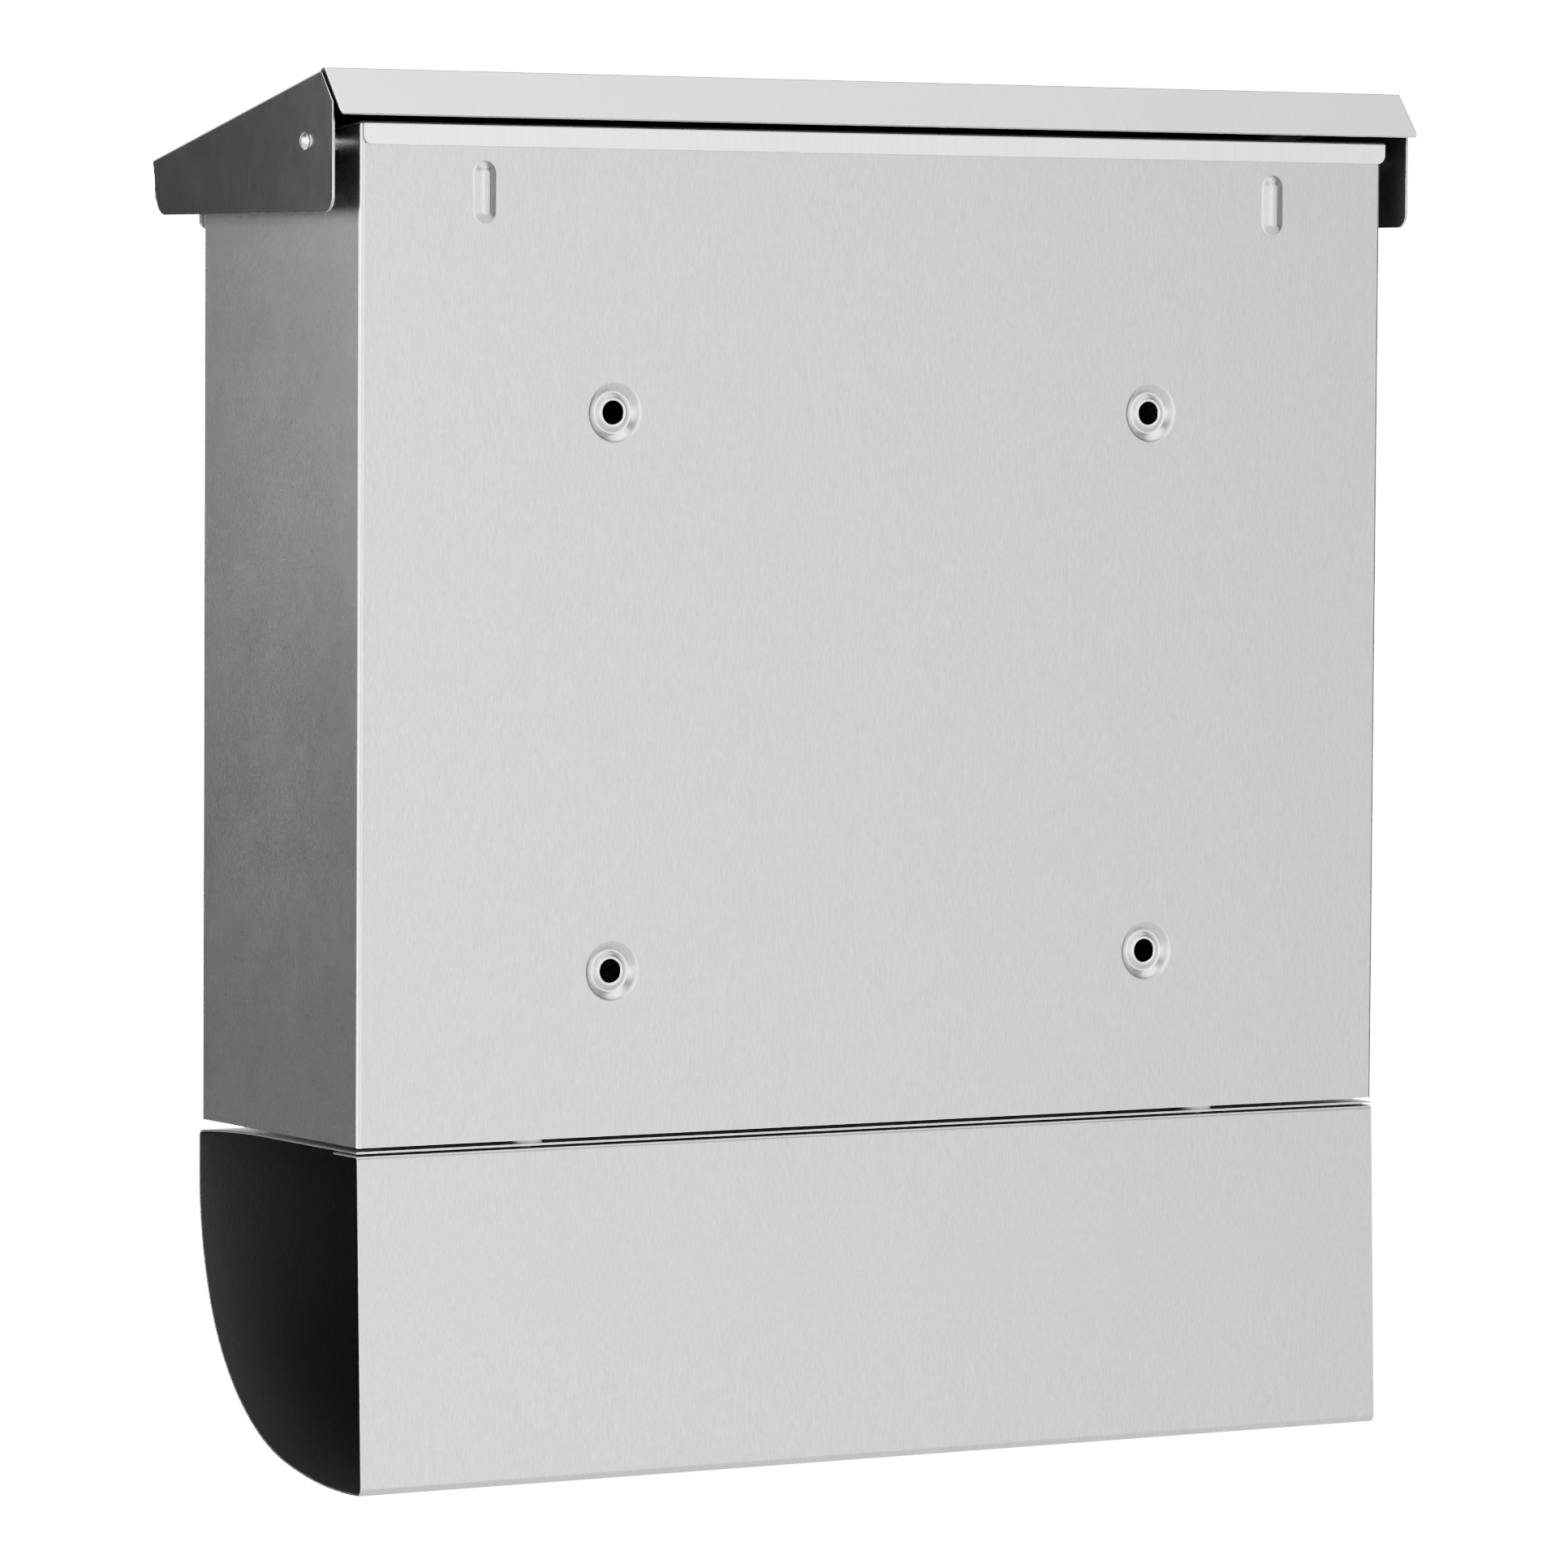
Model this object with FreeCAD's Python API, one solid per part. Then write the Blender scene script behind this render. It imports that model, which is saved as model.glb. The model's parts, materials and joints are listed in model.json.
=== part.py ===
import FreeCAD, Part
import math
import os

# Wall mounted mailbox of brushed stainless sheet, with a lifting lid, a locked front door and a newspaper
# tube below. All lengths are in millimetres. The drawing frame is: X to the right as seen from the front,
# Y from the front towards the wall with 0 on the back sheet, Z up with 0 on the lower edge of the body.
# Each part is moved on saving, so that the stored origin is in the middle of the four wall holes, level with
# their rims.

# Driving dimensions
body_width = 363.0
body_depth = 102.5
steel = 0.8
bend = 1.4
rivet_radius = 1.6
rivet_hole_radius = 1.62

# Wall fixing
hole_spacing_x = 191.0
hole_spacing_z = 167.3
hole_centre_z = 133.15
wall_hole_radius = 3.55
dish_radius = 9.0
dish_floor_radius = 6.0
dish_depth = 2.1
dish_rim_depth = 1.0

# Top frame that closes the body around the mail slot
frame_rear_y = 2.0
frame_rear_top = 302.2
frame_slope = 0.105
frame_rear_drop = 6.8
frame_front_gap = 3.2
frame_front_bottom = 271.1
mail_slot_half = 162.5
mail_slot_front = -80.0
mail_slot_rear = -40.0
mail_slot_corner = 5.0
ledge_front_y = -90.0
ledge_rear_y = -26.0
frame_rivet_inset = 6.2
frame_rivet_rows = (-34.0, -58.0, -82.0)
buffer_x = 172.0
buffer_y = -97.0
buffer_height = 2.6

# Folded guard under the mail slot: the line of its section from the rear to its lower edge
guard_rear_y = -22.0
guard_bend_y = -37.5
guard_low_y = -62.0
guard_low_z = 254.0
guard_edge_y = -58.0
guard_edge_z = 247.0

# Lid
lid_overhang = 9.75
lid_slope = math.radians(12.55)
ridge_y = -4.45
ridge_z = 317.76
rear_edge_y = 6.63
rear_edge_z = 304.14
lid_front_y = -118.8
cheek_bottom = 275.4
cheek_rear_y = 0.85
cheek_slit = 1.6
cheek_corner = 4.75
lid_flange_bottom = 278.5
lid_bend = 1.2
lid_seam_width = 20.0
pivot_y = -16.3
pivot_z = 296.3
pivot_radius = 2.1
pivot_clearance = 0.07
spacer_radius = 2.6
spacer_length = 2.3

# Lid stops pressed out of the back sheet
stop_x = 140.2
stop_z = 281.8
stop_width = 7.0
stop_height = 18.0
stop_rise = 1.6

# Front opening and door
return_width = 12.0
sill_height = 12.0
lintel_bottom = 268.0
lintel_top = 281.0
ledge_depth = 16.5
door_gap = 1.5
door_depth = 9.0
hinge_inset = 5.0
hinge_pin_radius = 2.0
hinge_clearance = 0.05

# Lock
lock_x = 150.0
lock_z = 140.0
barrel_radius = 8.0
plug_radius = 5.5
cam_front_y = -84.1
cam_thickness = 2.0
cam_reach = 21.0
cam_half_width = 6.0
strike_thickness = 1.5
strike_reach = 17.7
strike_height = 36.0
stop_angle_reach = 17.0
stop_angle_heights = (44.0, 214.0)
stop_angle_length = 20.0

# Sight window and name plate on the door
window_z = 62.0
slot_pitch = 12.0
slot_length = 64.0
slot_height = 6.0
pane_rivet_x = 40.0
pane_rivet_z = 17.0
pane_half_width = 46.0
pane_half_height = 22.0
pane_thickness = 2.0
pane_rivet_radius = 1.5
plate_z = 226.0
plate_half_width = 39.0
plate_half_height = 12.0
plate_thickness = 2.5

# Newspaper tube
tube_steel = 0.6
tube_top_z = -1.2
tube_flange_z = -2.35
tube_flange_length = 15.4
tube_lean = math.radians(1.82)
tube_front_y = -104.05
tube_screw_x = 120.0
tube_screw_rows = (-54.0, -8.0)
screw_radius = 2.0
screw_length = 7.5
nut_height = 3.2

# The tube's front is three arcs from a short straight edge to the bottom, and its top ends in a shallow curve
tube_front_radii = (106.7, 72.2, 171.1)
tube_front_turns = (math.radians(21.7), math.radians(76.7))
tube_front_end_z = -15.8
tube_bottom_fold = 2.5
tube_top_fold = 2.2
tube_top_flat_y = -60.0
tube_top_fall = math.radians(5.2)

half_width = body_width / 2
lid_half = half_width + lid_overhang
front_y = -body_depth
frame_front_y = front_y - frame_front_gap
opening_half = half_width - return_width
door_half = opening_half - door_gap
door_bottom = sill_height + door_gap
door_top = lintel_bottom - door_gap
hinge_x = -door_half + hinge_inset
hinge_y = front_y + hinge_inset
X = FreeCAD.Vector(1, 0, 0)
Y = FreeCAD.Vector(0, 1, 0)
Z = FreeCAD.Vector(0, 0, 1)


def at(x, y, z):
    return FreeCAD.Vector(x, y, z)


def block(x0, y0, z0, x1, y1, z1):
    return Part.makeBox(x1 - x0, y1 - y0, z1 - z0, at(x0, y0, z0))


def rod(radius, start, direction, length):
    return Part.makeCylinder(radius, length, start, direction)


def ring(outer, inner, start, direction, length):
    return rod(outer, start, direction, length).cut(rod(inner, start, direction, length))


def fused(shapes):
    whole = shapes[0]
    for shape in shapes[1:]:
        whole = whole.fuse(shape)
    return whole.removeSplitter()


def mirrored(shape):
    return shape.mirror(at(0, 0, 0), X)


def save(node, shape):
    placed = shape.copy()
    placed.translate(at(0, dish_rim_depth, -hole_centre_z))
    placed.exportStep("parts/" + node + ".step")


def corner_arc(before, corner, after, radius):
    """Start, middle and end of the arc that rounds one corner of a path."""
    back = (before - corner).normalize()
    ahead = (after - corner).normalize()
    half = back.getAngle(ahead) / 2
    along = radius / math.tan(half)
    inward = (back + ahead).normalize()
    middle = corner + inward * (radius / math.sin(half) - radius)
    return corner + back * along, middle, corner + ahead * along


def rounded_path(points, radii):
    """Edges of a path whose inner corners are rounded, one radius for each of them."""
    edges = []
    start = points[0]
    for index, radius in enumerate(radii):
        first, middle, last = corner_arc(points[index], points[index + 1], points[index + 2], radius)
        edges.append(Part.makeLine(start, first))
        edges.append(Part.Arc(first, middle, last).toShape())
        start = last
    edges.append(Part.makeLine(start, points[-1]))
    return edges


def folded_sheet(edges, thickness, length):
    """Sheet whose section follows the edges, with its thickness to one side of them."""
    section = Part.Wire(edges).makeOffset2D(thickness, 0, True, True)
    return section.extrude(length)


def outline_plate(points, radii, length):
    """Plate with a closed outline whose corners are rounded; a radius of 0 leaves a corner sharp."""
    edges = []
    count = len(points)
    rounds = []
    for index, radius in enumerate(radii):
        before = points[index - 1]
        after = points[(index + 1) % count]
        if radius:
            rounds.append(corner_arc(before, points[index], after, radius))
        else:
            rounds.append((points[index], None, points[index]))
    for index in range(count):
        first, middle, last = rounds[index]
        if middle:
            edges.append(Part.Arc(first, middle, last).toShape())
        edges.append(Part.makeLine(last, rounds[(index + 1) % count][0]))
    return Part.Face(Part.Wire(edges)).extrude(length)


def obround(cx, cz, length, height, y0, y1):
    """Slot shape with round ends, along X, from y0 to y1."""
    radius = height / 2
    reach = length / 2 - radius
    bar = block(cx - reach, y0, cz - radius, cx + reach, y1, cz + radius)
    ends = [rod(radius, at(cx + side * reach, y0, cz), Y, y1 - y0) for side in (-1, 1)]
    return fused([bar] + ends)


def corner_tool(radius, corner, inward, up, normal):
    """Cutter that rounds the corner of a flat sheet; it stands on the corner along the normal."""
    tool = block(-1, -1, -4, radius, radius, 4)
    tool = tool.cut(rod(radius, at(radius, radius, -4), Z, 8))
    turn = FreeCAD.Matrix(
        inward.x, up.x, normal.x, corner.x,
        inward.y, up.y, normal.y, corner.y,
        inward.z, up.z, normal.z, corner.z,
        0, 0, 0, 1,
    )
    return tool.transformGeometry(turn)


def hexagon(across_flats, start, direction, length):
    radius = across_flats / math.sqrt(3)
    angles = [k * math.pi / 3 for k in range(6)]
    corners = [at(radius * math.cos(angle), radius * math.sin(angle), 0) for angle in angles]
    prism = Part.Face(Part.makePolygon(corners + corners[:1])).extrude(at(0, 0, length))
    prism.Placement = FreeCAD.Placement(start, FreeCAD.Rotation(Z, direction))
    return prism


def dome(radius, height, base, direction):
    """Round head: the cap of a ball on a flat base."""
    ball_radius = (radius * radius + height * height) / (2 * height)
    centre = base + direction * (height - ball_radius)
    ball = Part.makeSphere(ball_radius, centre)
    return ball.common(rod(radius + 1, base, direction, height + 1))


def frame_top(y):
    """Height of the top frame's upper face above a point of the body."""
    return frame_rear_top + (y - frame_rear_y) * frame_slope


def frame_under(y):
    return frame_top(y) - steel * math.hypot(1, frame_slope)


def wall_hole_places():
    return [
        (sx * hole_spacing_x / 2, hole_centre_z + sz * hole_spacing_z / 2)
        for sx in (-1, 1)
        for sz in (-1, 1)
    ]


def wall_dish(x, z):
    """Dish pressed into the back sheet around a wall hole, with a raised rim at the hole."""
    rear = [
        (dish_radius, 0),
        (dish_floor_radius + 0.3, -dish_depth),
        (dish_floor_radius - 0.3, -dish_depth),
        (wall_hole_radius, -dish_rim_depth),
    ]
    front = [(radius, depth - steel) for radius, depth in reversed(rear)]
    points = [at(x + radius, depth, z) for radius, depth in rear + front]
    section = Part.Face(Part.makePolygon(points + points[:1]))
    return section.revolve(at(x, 0, z), Y, 360)


def stop_shell(x):
    """Long boss pressed out of the back sheet, which the opened lid comes to rest on."""
    def layer(grow, y):
        radius = stop_width / 2 + grow
        reach = (stop_height - stop_width) / 2
        points = [
            at(x - radius, y, stop_z - reach),
            at(x, y, stop_z - reach - radius),
            at(x + radius, y, stop_z - reach),
            at(x + radius, y, stop_z + reach),
            at(x, y, stop_z + reach + radius),
            at(x - radius, y, stop_z + reach),
        ]
        return Part.Wire([
            Part.Arc(points[0], points[1], points[2]).toShape(),
            Part.makeLine(points[2], points[3]),
            Part.Arc(points[3], points[4], points[5]).toShape(),
            Part.makeLine(points[5], points[0]),
        ])
    outside = [layer(0, -steel), layer(0, 0.3), layer(-1.2, stop_rise)]
    inside = [layer(-steel, -steel), layer(-steel, 0), layer(-1.9, stop_rise - steel)]
    outer = Part.makeLoft(outside, True, True)
    inner = Part.makeLoft(inside, True, True)
    return outer, inner


def body_shell():
    """Back, sides and front returns folded from one sheet, with a sloping top."""
    side_top = frame_top(0) + 4
    points = [
        at(opening_half, front_y, 0),
        at(half_width, front_y, 0),
        at(half_width, 0, 0),
        at(-half_width, 0, 0),
        at(-half_width, front_y, 0),
        at(-opening_half, front_y, 0),
    ]
    shell = folded_sheet(rounded_path(points, [bend] * 4), -steel, at(0, 0, side_top))
    above = [
        at(-half_width - 1, 1, frame_under(1)),
        at(-half_width - 1, 1, side_top + 1),
        at(-half_width - 1, front_y - 1, side_top + 1),
        at(-half_width - 1, front_y - 1, frame_under(front_y - 1)),
    ]
    shell = shell.cut(Part.Face(Part.makePolygon(above + above[:1])).extrude(at(body_width + 2, 0, 0)))
    ledge_edge = half_width - return_width
    ledge = [
        at(ledge_edge, ledge_front_y, frame_under(ledge_front_y)),
        at(ledge_edge, ledge_rear_y, frame_under(ledge_rear_y)),
        at(ledge_edge, ledge_rear_y, frame_under(ledge_rear_y) - steel),
        at(ledge_edge, ledge_front_y, frame_under(ledge_front_y) - steel),
    ]
    ledge = Part.Face(Part.makePolygon(ledge + ledge[:1])).extrude(at(return_width - steel / 2, 0, 0))
    shell = fused([shell, ledge, mirrored(ledge)])
    for x, z in wall_hole_places():
        shell = shell.cut(rod(dish_radius, at(x, -steel - 1, z), Y, steel + 2))
        shell = shell.fuse(wall_dish(x, z))
    for x in (-stop_x, stop_x):
        outer, inner = stop_shell(x)
        shell = shell.fuse(outer).cut(inner)
    pin_hole = rod(pivot_radius + 0.02, at(-half_width - 1, pivot_y, pivot_z), X, body_width + 2)
    shell = shell.cut(pin_hole)
    for hole in frame_rivet_shanks():
        shell = shell.cut(hole)
    return shell.removeSplitter()


def bottom_panel():
    """Floor pan, with a sill folded up behind the door and a ledge for the lower hinge pin."""
    inside = half_width - steel
    corners = [
        at(-inside, front_y + steel, 0),
        at(inside, front_y + steel, 0),
        at(inside, -steel, 0),
        at(-inside, -steel, 0),
    ]
    floor = outline_plate(corners, [bend] * 4, at(0, 0, steel))
    lips = [
        block(2 - inside, -steel * 2, 0, inside - 2, -steel, 10),
        block(-inside, -90, 0, -inside + steel, -3, 10),
        block(inside - steel, -90, 0, inside, -3, 10),
    ]
    sill_end = opening_half - 0.1
    path = [
        at(-sill_end, -70, 0),
        at(-sill_end, front_y, 0),
        at(-sill_end, front_y, sill_height),
        at(-sill_end, front_y + ledge_depth, sill_height),
    ]
    sill = folded_sheet(rounded_path(path, [bend, bend]), steel, at(2 * sill_end, 0, 0))
    pan = fused([floor, sill] + lips)
    for x, y in tube_screw_places():
        pan = pan.cut(rod(screw_radius + 0.2, at(x, y, -1), Z, 4))
    return pan.cut(rod(hinge_pin_radius + 0.02, at(hinge_x, hinge_y, sill_height - 3), Z, 5))


def door_lintel():
    """Angle above the door opening that carries the upper hinge pin."""
    end = opening_half - 0.1
    path = [
        at(-end, front_y, lintel_top),
        at(-end, front_y, lintel_bottom),
        at(-end, front_y + ledge_depth, lintel_bottom),
    ]
    angle = folded_sheet(rounded_path(path, [bend]), -steel, at(2 * end, 0, 0))
    return angle.cut(rod(hinge_pin_radius + 0.02, at(hinge_x, hinge_y, lintel_bottom - 1), Z, 4))


def frame_rivet_places():
    return [(sx * (half_width - frame_rivet_inset), y) for sx in (-1, 1) for y in frame_rivet_rows]


def frame_normal():
    return at(0, -frame_slope, 1).normalize()


def frame_rivet_shanks():
    up = frame_normal()
    return [rod(rivet_hole_radius, at(x, y, frame_top(y)) - up * 4, up, 5) for x, y in frame_rivet_places()]


def top_frame():
    """Folded frame around the mail slot, with a drip flange at the front and one over the back sheet."""
    path = [
        at(-half_width, frame_front_y, frame_front_bottom),
        at(-half_width, frame_front_y, frame_top(frame_front_y)),
        at(-half_width, frame_rear_y, frame_rear_top),
        at(-half_width, frame_rear_y, frame_rear_top - frame_rear_drop),
    ]
    frame = folded_sheet(rounded_path(path, [bend, 1.0]), steel, at(body_width, 0, 0))
    for sx in (-1, 1):
        front_corner = at(sx * half_width, frame_front_y, frame_front_bottom)
        rear_corner = at(sx * half_width, frame_rear_y, frame_rear_top - frame_rear_drop)
        frame = frame.cut(corner_tool(3.0, front_corner, X * -sx, Z, Y * sx))
        frame = frame.cut(corner_tool(2.8, rear_corner, X * -sx, Z, Y * sx))
    slot = [
        at(-mail_slot_half, mail_slot_front, 280),
        at(mail_slot_half, mail_slot_front, 280),
        at(mail_slot_half, mail_slot_rear, 280),
        at(-mail_slot_half, mail_slot_rear, 280),
    ]
    frame = frame.cut(outline_plate(slot, [mail_slot_corner] * 4, at(0, 0, 30)))
    for hole in frame_rivet_shanks() + buffer_shanks():
        frame = frame.cut(hole)
    return frame


def frame_rivets():
    """Blind rivets that hold the top frame on the body's side ledges."""
    up = frame_normal()
    rivets = []
    for x, y in frame_rivet_places():
        seat = at(x, y, frame_top(y))
        shank = rod(rivet_radius, seat - up * 3.2, up, 3.2)
        head = dome(3.2, 1.1, seat, up)
        bulge = rod(2.3, seat - up * 3.6, up, 1.95)
        rivets.append(fused([shank, head, bulge]))
    return Part.makeCompound(rivets)


def mail_guard():
    """Folded plate under the slot that keeps hands out and turns the mail towards the door."""
    reach = mail_slot_half - 3
    path = [
        at(-reach, guard_rear_y, frame_under(guard_rear_y)),
        at(-reach, guard_bend_y, frame_under(guard_bend_y)),
        at(-reach, guard_low_y, guard_low_z),
        at(-reach, guard_edge_y, guard_edge_z),
    ]
    return folded_sheet(rounded_path(path, [bend, bend]), -steel, at(2 * reach, 0, 0))


def buffer_seats():
    return [at(sx * buffer_x, buffer_y, frame_top(buffer_y)) for sx in (-1, 1)]


def buffer_shanks():
    up = frame_normal()
    return [rod(2.52, seat - up * 4, up, 5) for seat in buffer_seats()]


def lid_buffers():
    """Rubber buffers pushed into the top frame, which the closed lid rests on."""
    up = frame_normal()
    buffers = []
    for seat in buffer_seats():
        foot = Part.makeCone(4.5, 4.0, buffer_height, seat, up)
        stem = rod(2.5, seat - up * 2.0, up, 2.0)
        barb = Part.makeCone(2.4, 3.4, 1.6, seat - up * 2.45, up)
        tip = dome(4.0, 1.5, seat + up * buffer_height, up)
        buffers.append(fused([foot, stem, barb, tip]))
    return Part.makeCompound(buffers)


def hinge_pin(flange_face, direction):
    """Headed pin pushed through a ledge into the door's flange; it points along the direction."""
    start = at(hinge_x, hinge_y, flange_face) - direction * steel
    head = rod(3.5, start - direction * 1.5, direction, 1.5)
    shank = rod(hinge_pin_radius, start, direction, 10)
    return fused([head, shank])


def hinge_washer():
    return ring(4.5, hinge_pin_radius + 0.05, at(hinge_x, hinge_y, sill_height), Z, door_gap - 0.3)


def lock_strike():
    """Angle welded to the right side, behind which the cam turns."""
    inside = half_width - steel
    front = cam_front_y - 0.3 - strike_thickness
    foot = lock_z - strike_height / 2
    path = [
        at(inside - strike_reach, front, foot),
        at(inside, front, foot),
        at(inside, front + 15, foot),
    ]
    return folded_sheet(rounded_path(path, [2.0]), -strike_thickness, at(0, 0, strike_height))


def door_stops():
    """Two small angles on the right side that the closed door rests on."""
    inside = half_width - steel
    stops = []
    front = front_y + door_depth + 0.3
    for z in stop_angle_heights:
        path = [
            at(inside - stop_angle_reach, front, z),
            at(inside, front, z),
            at(inside, front + 12, z),
        ]
        stops.append(folded_sheet(rounded_path(path, [bend]), -steel, at(0, 0, stop_angle_length)))
    return Part.makeCompound(stops)


def roof_point(x, along, inward):
    """Point of the lid measured from the ridge: down the roof, and square to it towards the inside."""
    slope = at(0, math.cos(lid_slope), math.sin(lid_slope))
    normal = at(0, -math.sin(lid_slope), math.cos(lid_slope))
    return at(x, ridge_y, ridge_z) - slope * along - normal * inward


def rear_slope():
    """Direction down the rear slope, its outward normal, and where the cheek's slant starts below the ridge."""
    down = at(0, rear_edge_y - ridge_y, rear_edge_z - ridge_z).normalize()
    outward = at(0, -down.z, down.y)
    inset = steel + cheek_slit
    between = math.pi - (math.atan2(-down.z, down.y) - -lid_slope)
    return down, outward, inset / math.sin(between)


def lid_front_top():
    """Height of the sharp corner between the roof and the front flange."""
    return ridge_z + (lid_front_y - ridge_y) * math.tan(lid_slope)


def lid_cheek():
    """Right cheek with its bend along the roof."""
    down, _, ridge_inset = rear_slope()
    path = [
        roof_point(lid_half - lid_seam_width, -3, 0),
        roof_point(lid_half, -3, 0),
        roof_point(lid_half, -3, 60),
    ]
    length = roof_point(0, 125, 0) - roof_point(0, -3, 0)
    angle = folded_sheet(rounded_path(path, [lid_bend]), -steel, length)
    slant = (cheek_rear_y - roof_point(0, ridge_inset, 0).y) / down.y
    slant_end = roof_point(0, ridge_inset, 0) + down * slant
    start = lid_half - lid_seam_width - 1
    outline = [
        at(start, lid_front_y, cheek_bottom),
        at(start, lid_front_y, lid_front_top()),
        roof_point(start, ridge_inset, 0),
        at(start, cheek_rear_y, slant_end.z),
        at(start, cheek_rear_y, cheek_bottom),
    ]
    profile = outline_plate(outline, [cheek_corner, lid_bend, 0, 0.6, 4.5], at(lid_seam_width + 3, 0, 0))
    cheek = angle.common(profile)
    hole = rod(pivot_radius + pivot_clearance, at(lid_half - 5, pivot_y, pivot_z), X, 10)
    return cheek.cut(hole)


def lid_cover():
    """Lid folded from one sheet: roof, rear slope, front flange and two cheeks."""
    down, outward, ridge_inset = rear_slope()
    path = [
        at(-lid_half, lid_front_y, lid_flange_bottom),
        at(-lid_half, lid_front_y, lid_front_top()),
        at(-lid_half, ridge_y, ridge_z),
        at(-lid_half, rear_edge_y, rear_edge_z),
    ]
    roof = folded_sheet(rounded_path(path, [lid_bend, lid_bend]), steel, at(2 * lid_half, 0, 0))
    trim_end = roof_point(0, ridge_inset, 0).y
    for sx in (-1, 1):
        corner = at(sx * lid_half, rear_edge_y, rear_edge_z)
        roof = roof.cut(corner_tool(3.0, corner, X * -sx, down * -1, outward * sx))
        flange_corner = at(sx * (lid_half - lid_bend), lid_front_y, lid_flange_bottom)
        roof = roof.cut(corner_tool(3.0, flange_corner, X * -sx, Z, Y * sx))
    trim = block(lid_half - lid_bend, lid_front_y - 1, cheek_bottom - 1, lid_half + 1, trim_end, ridge_z + 1)
    roof = roof.cut(trim).cut(mirrored(trim))
    cheek = lid_cheek()
    return fused([roof, cheek, mirrored(cheek)])


def pivot_pin(side):
    """Shouldered rivet the lid turns on: one on each side of the body."""
    outward = X * side
    inner = at(side * (half_width - steel), pivot_y, pivot_z)
    tail = rod(2.6, inner - outward * 1.2, outward, 1.2)
    shank = rod(pivot_radius, inner, outward, steel + lid_overhang + 0.35)
    head = dome(2.65, 1.3, at(side * (lid_half + 0.3), pivot_y, pivot_z), outward)
    return fused([tail, shank, head])


def pivot_spacer(side):
    start = at(side * half_width, pivot_y, pivot_z)
    return ring(spacer_radius, pivot_radius + 0.02, start, X * side, spacer_length)


def tube_path():
    """Outside line of the tube's section, from the folded flange round to the free end of the top."""
    end_x = -half_width
    lean = at(0, math.sin(tube_lean), -math.cos(tube_lean))
    inward = at(0, -math.cos(tube_lean), -math.sin(tube_lean))
    heel = at(end_x, 0, tube_flange_z)
    flange_end = at(end_x, -tube_flange_length, tube_flange_z)
    first, middle, last = corner_arc(flange_end, heel, heel + lean * 50, bend)

    # Centres of the three front arcs, which run into each other
    radii = tube_front_radii
    turns = tube_front_turns
    way = [at(0, -math.cos(turn), -math.sin(turn)) for turn in turns]
    upper = at(end_x, tube_front_y + radii[0], tube_front_end_z)
    belly = upper + way[0] * (radii[0] - radii[1])
    lower = belly + way[1] * (radii[1] - radii[2])

    # The bottom bend touches both the leaning back and the lowest arc
    fold = tube_bottom_fold
    offset = heel + inward * fold - lower
    dot = offset.dot(lean)
    along = -dot + math.sqrt(dot * dot - offset.dot(offset) + (radii[2] - fold) ** 2)
    fold_centre = heel + lean * along + inward * fold
    out = (fold_centre - lower).normalize()
    back_end = heel + lean * along
    arc_start = lower + out * radii[2]
    fold_middle = fold_centre + (out - inward).normalize() * fold

    def on_arc(centre, radius, turn):
        return centre + at(0, -math.cos(turn), -math.sin(turn)) * radius

    start_turn = math.pi - math.atan2(-out.z, out.y)
    joint_low = on_arc(lower, radii[2], turns[1])
    joint_high = on_arc(upper, radii[0], turns[0])
    low_middle = on_arc(lower, radii[2], (start_turn + turns[1]) / 2)
    belly_middle = on_arc(belly, radii[1], (turns[0] + turns[1]) / 2)
    high_middle = on_arc(upper, radii[0], turns[0] / 2)
    front_start = at(end_x, tube_front_y, tube_front_end_z)

    # The top is flat at the rear and curves down a little to the front bend
    fall = tube_top_fall
    fold_top = tube_top_fold
    crown = (tube_top_flat_y - (tube_front_y + fold_top - fold_top * math.sin(fall))) / math.sin(fall)
    crown_centre = at(end_x, tube_top_flat_y, tube_top_z - crown)

    def on_crown(turn):
        return crown_centre + at(0, -math.sin(turn), math.cos(turn)) * crown

    crown_front = on_crown(fall)
    front_fold = crown_front - at(0, -math.sin(fall), math.cos(fall)) * fold_top
    fold_half = math.pi / 4 + fall / 2
    front_fold_middle = front_fold + at(0, -math.sin(fold_half), math.cos(fold_half)) * fold_top
    front_top = front_fold + Y * -fold_top
    return [
        Part.makeLine(flange_end, first),
        Part.Arc(first, middle, last).toShape(),
        Part.makeLine(last, back_end),
        Part.Arc(back_end, fold_middle, arc_start).toShape(),
        Part.Arc(arc_start, low_middle, joint_low).toShape(),
        Part.Arc(joint_low, belly_middle, joint_high).toShape(),
        Part.Arc(joint_high, high_middle, front_start).toShape(),
        Part.makeLine(front_start, front_top),
        Part.Arc(front_top, front_fold_middle, crown_front).toShape(),
        Part.Arc(crown_front, on_crown(fall / 2), at(end_x, tube_top_flat_y, tube_top_z)).toShape(),
        Part.makeLine(at(end_x, tube_top_flat_y, tube_top_z), at(end_x, -0.3, tube_top_z)),
    ]


def tube_screw_places():
    return [(sx * tube_screw_x, y) for sx in (-1, 1) for y in tube_screw_rows]


def newspaper_tube():
    """Open tube rolled from one sheet; its top lies over a flange folded from the back."""
    tube = folded_sheet(tube_path(), tube_steel, at(body_width, 0, 0))
    for x, y in tube_screw_places():
        tube = tube.cut(rod(screw_radius + 0.2, at(x, y, -6), Z, 8))
    return tube


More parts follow.
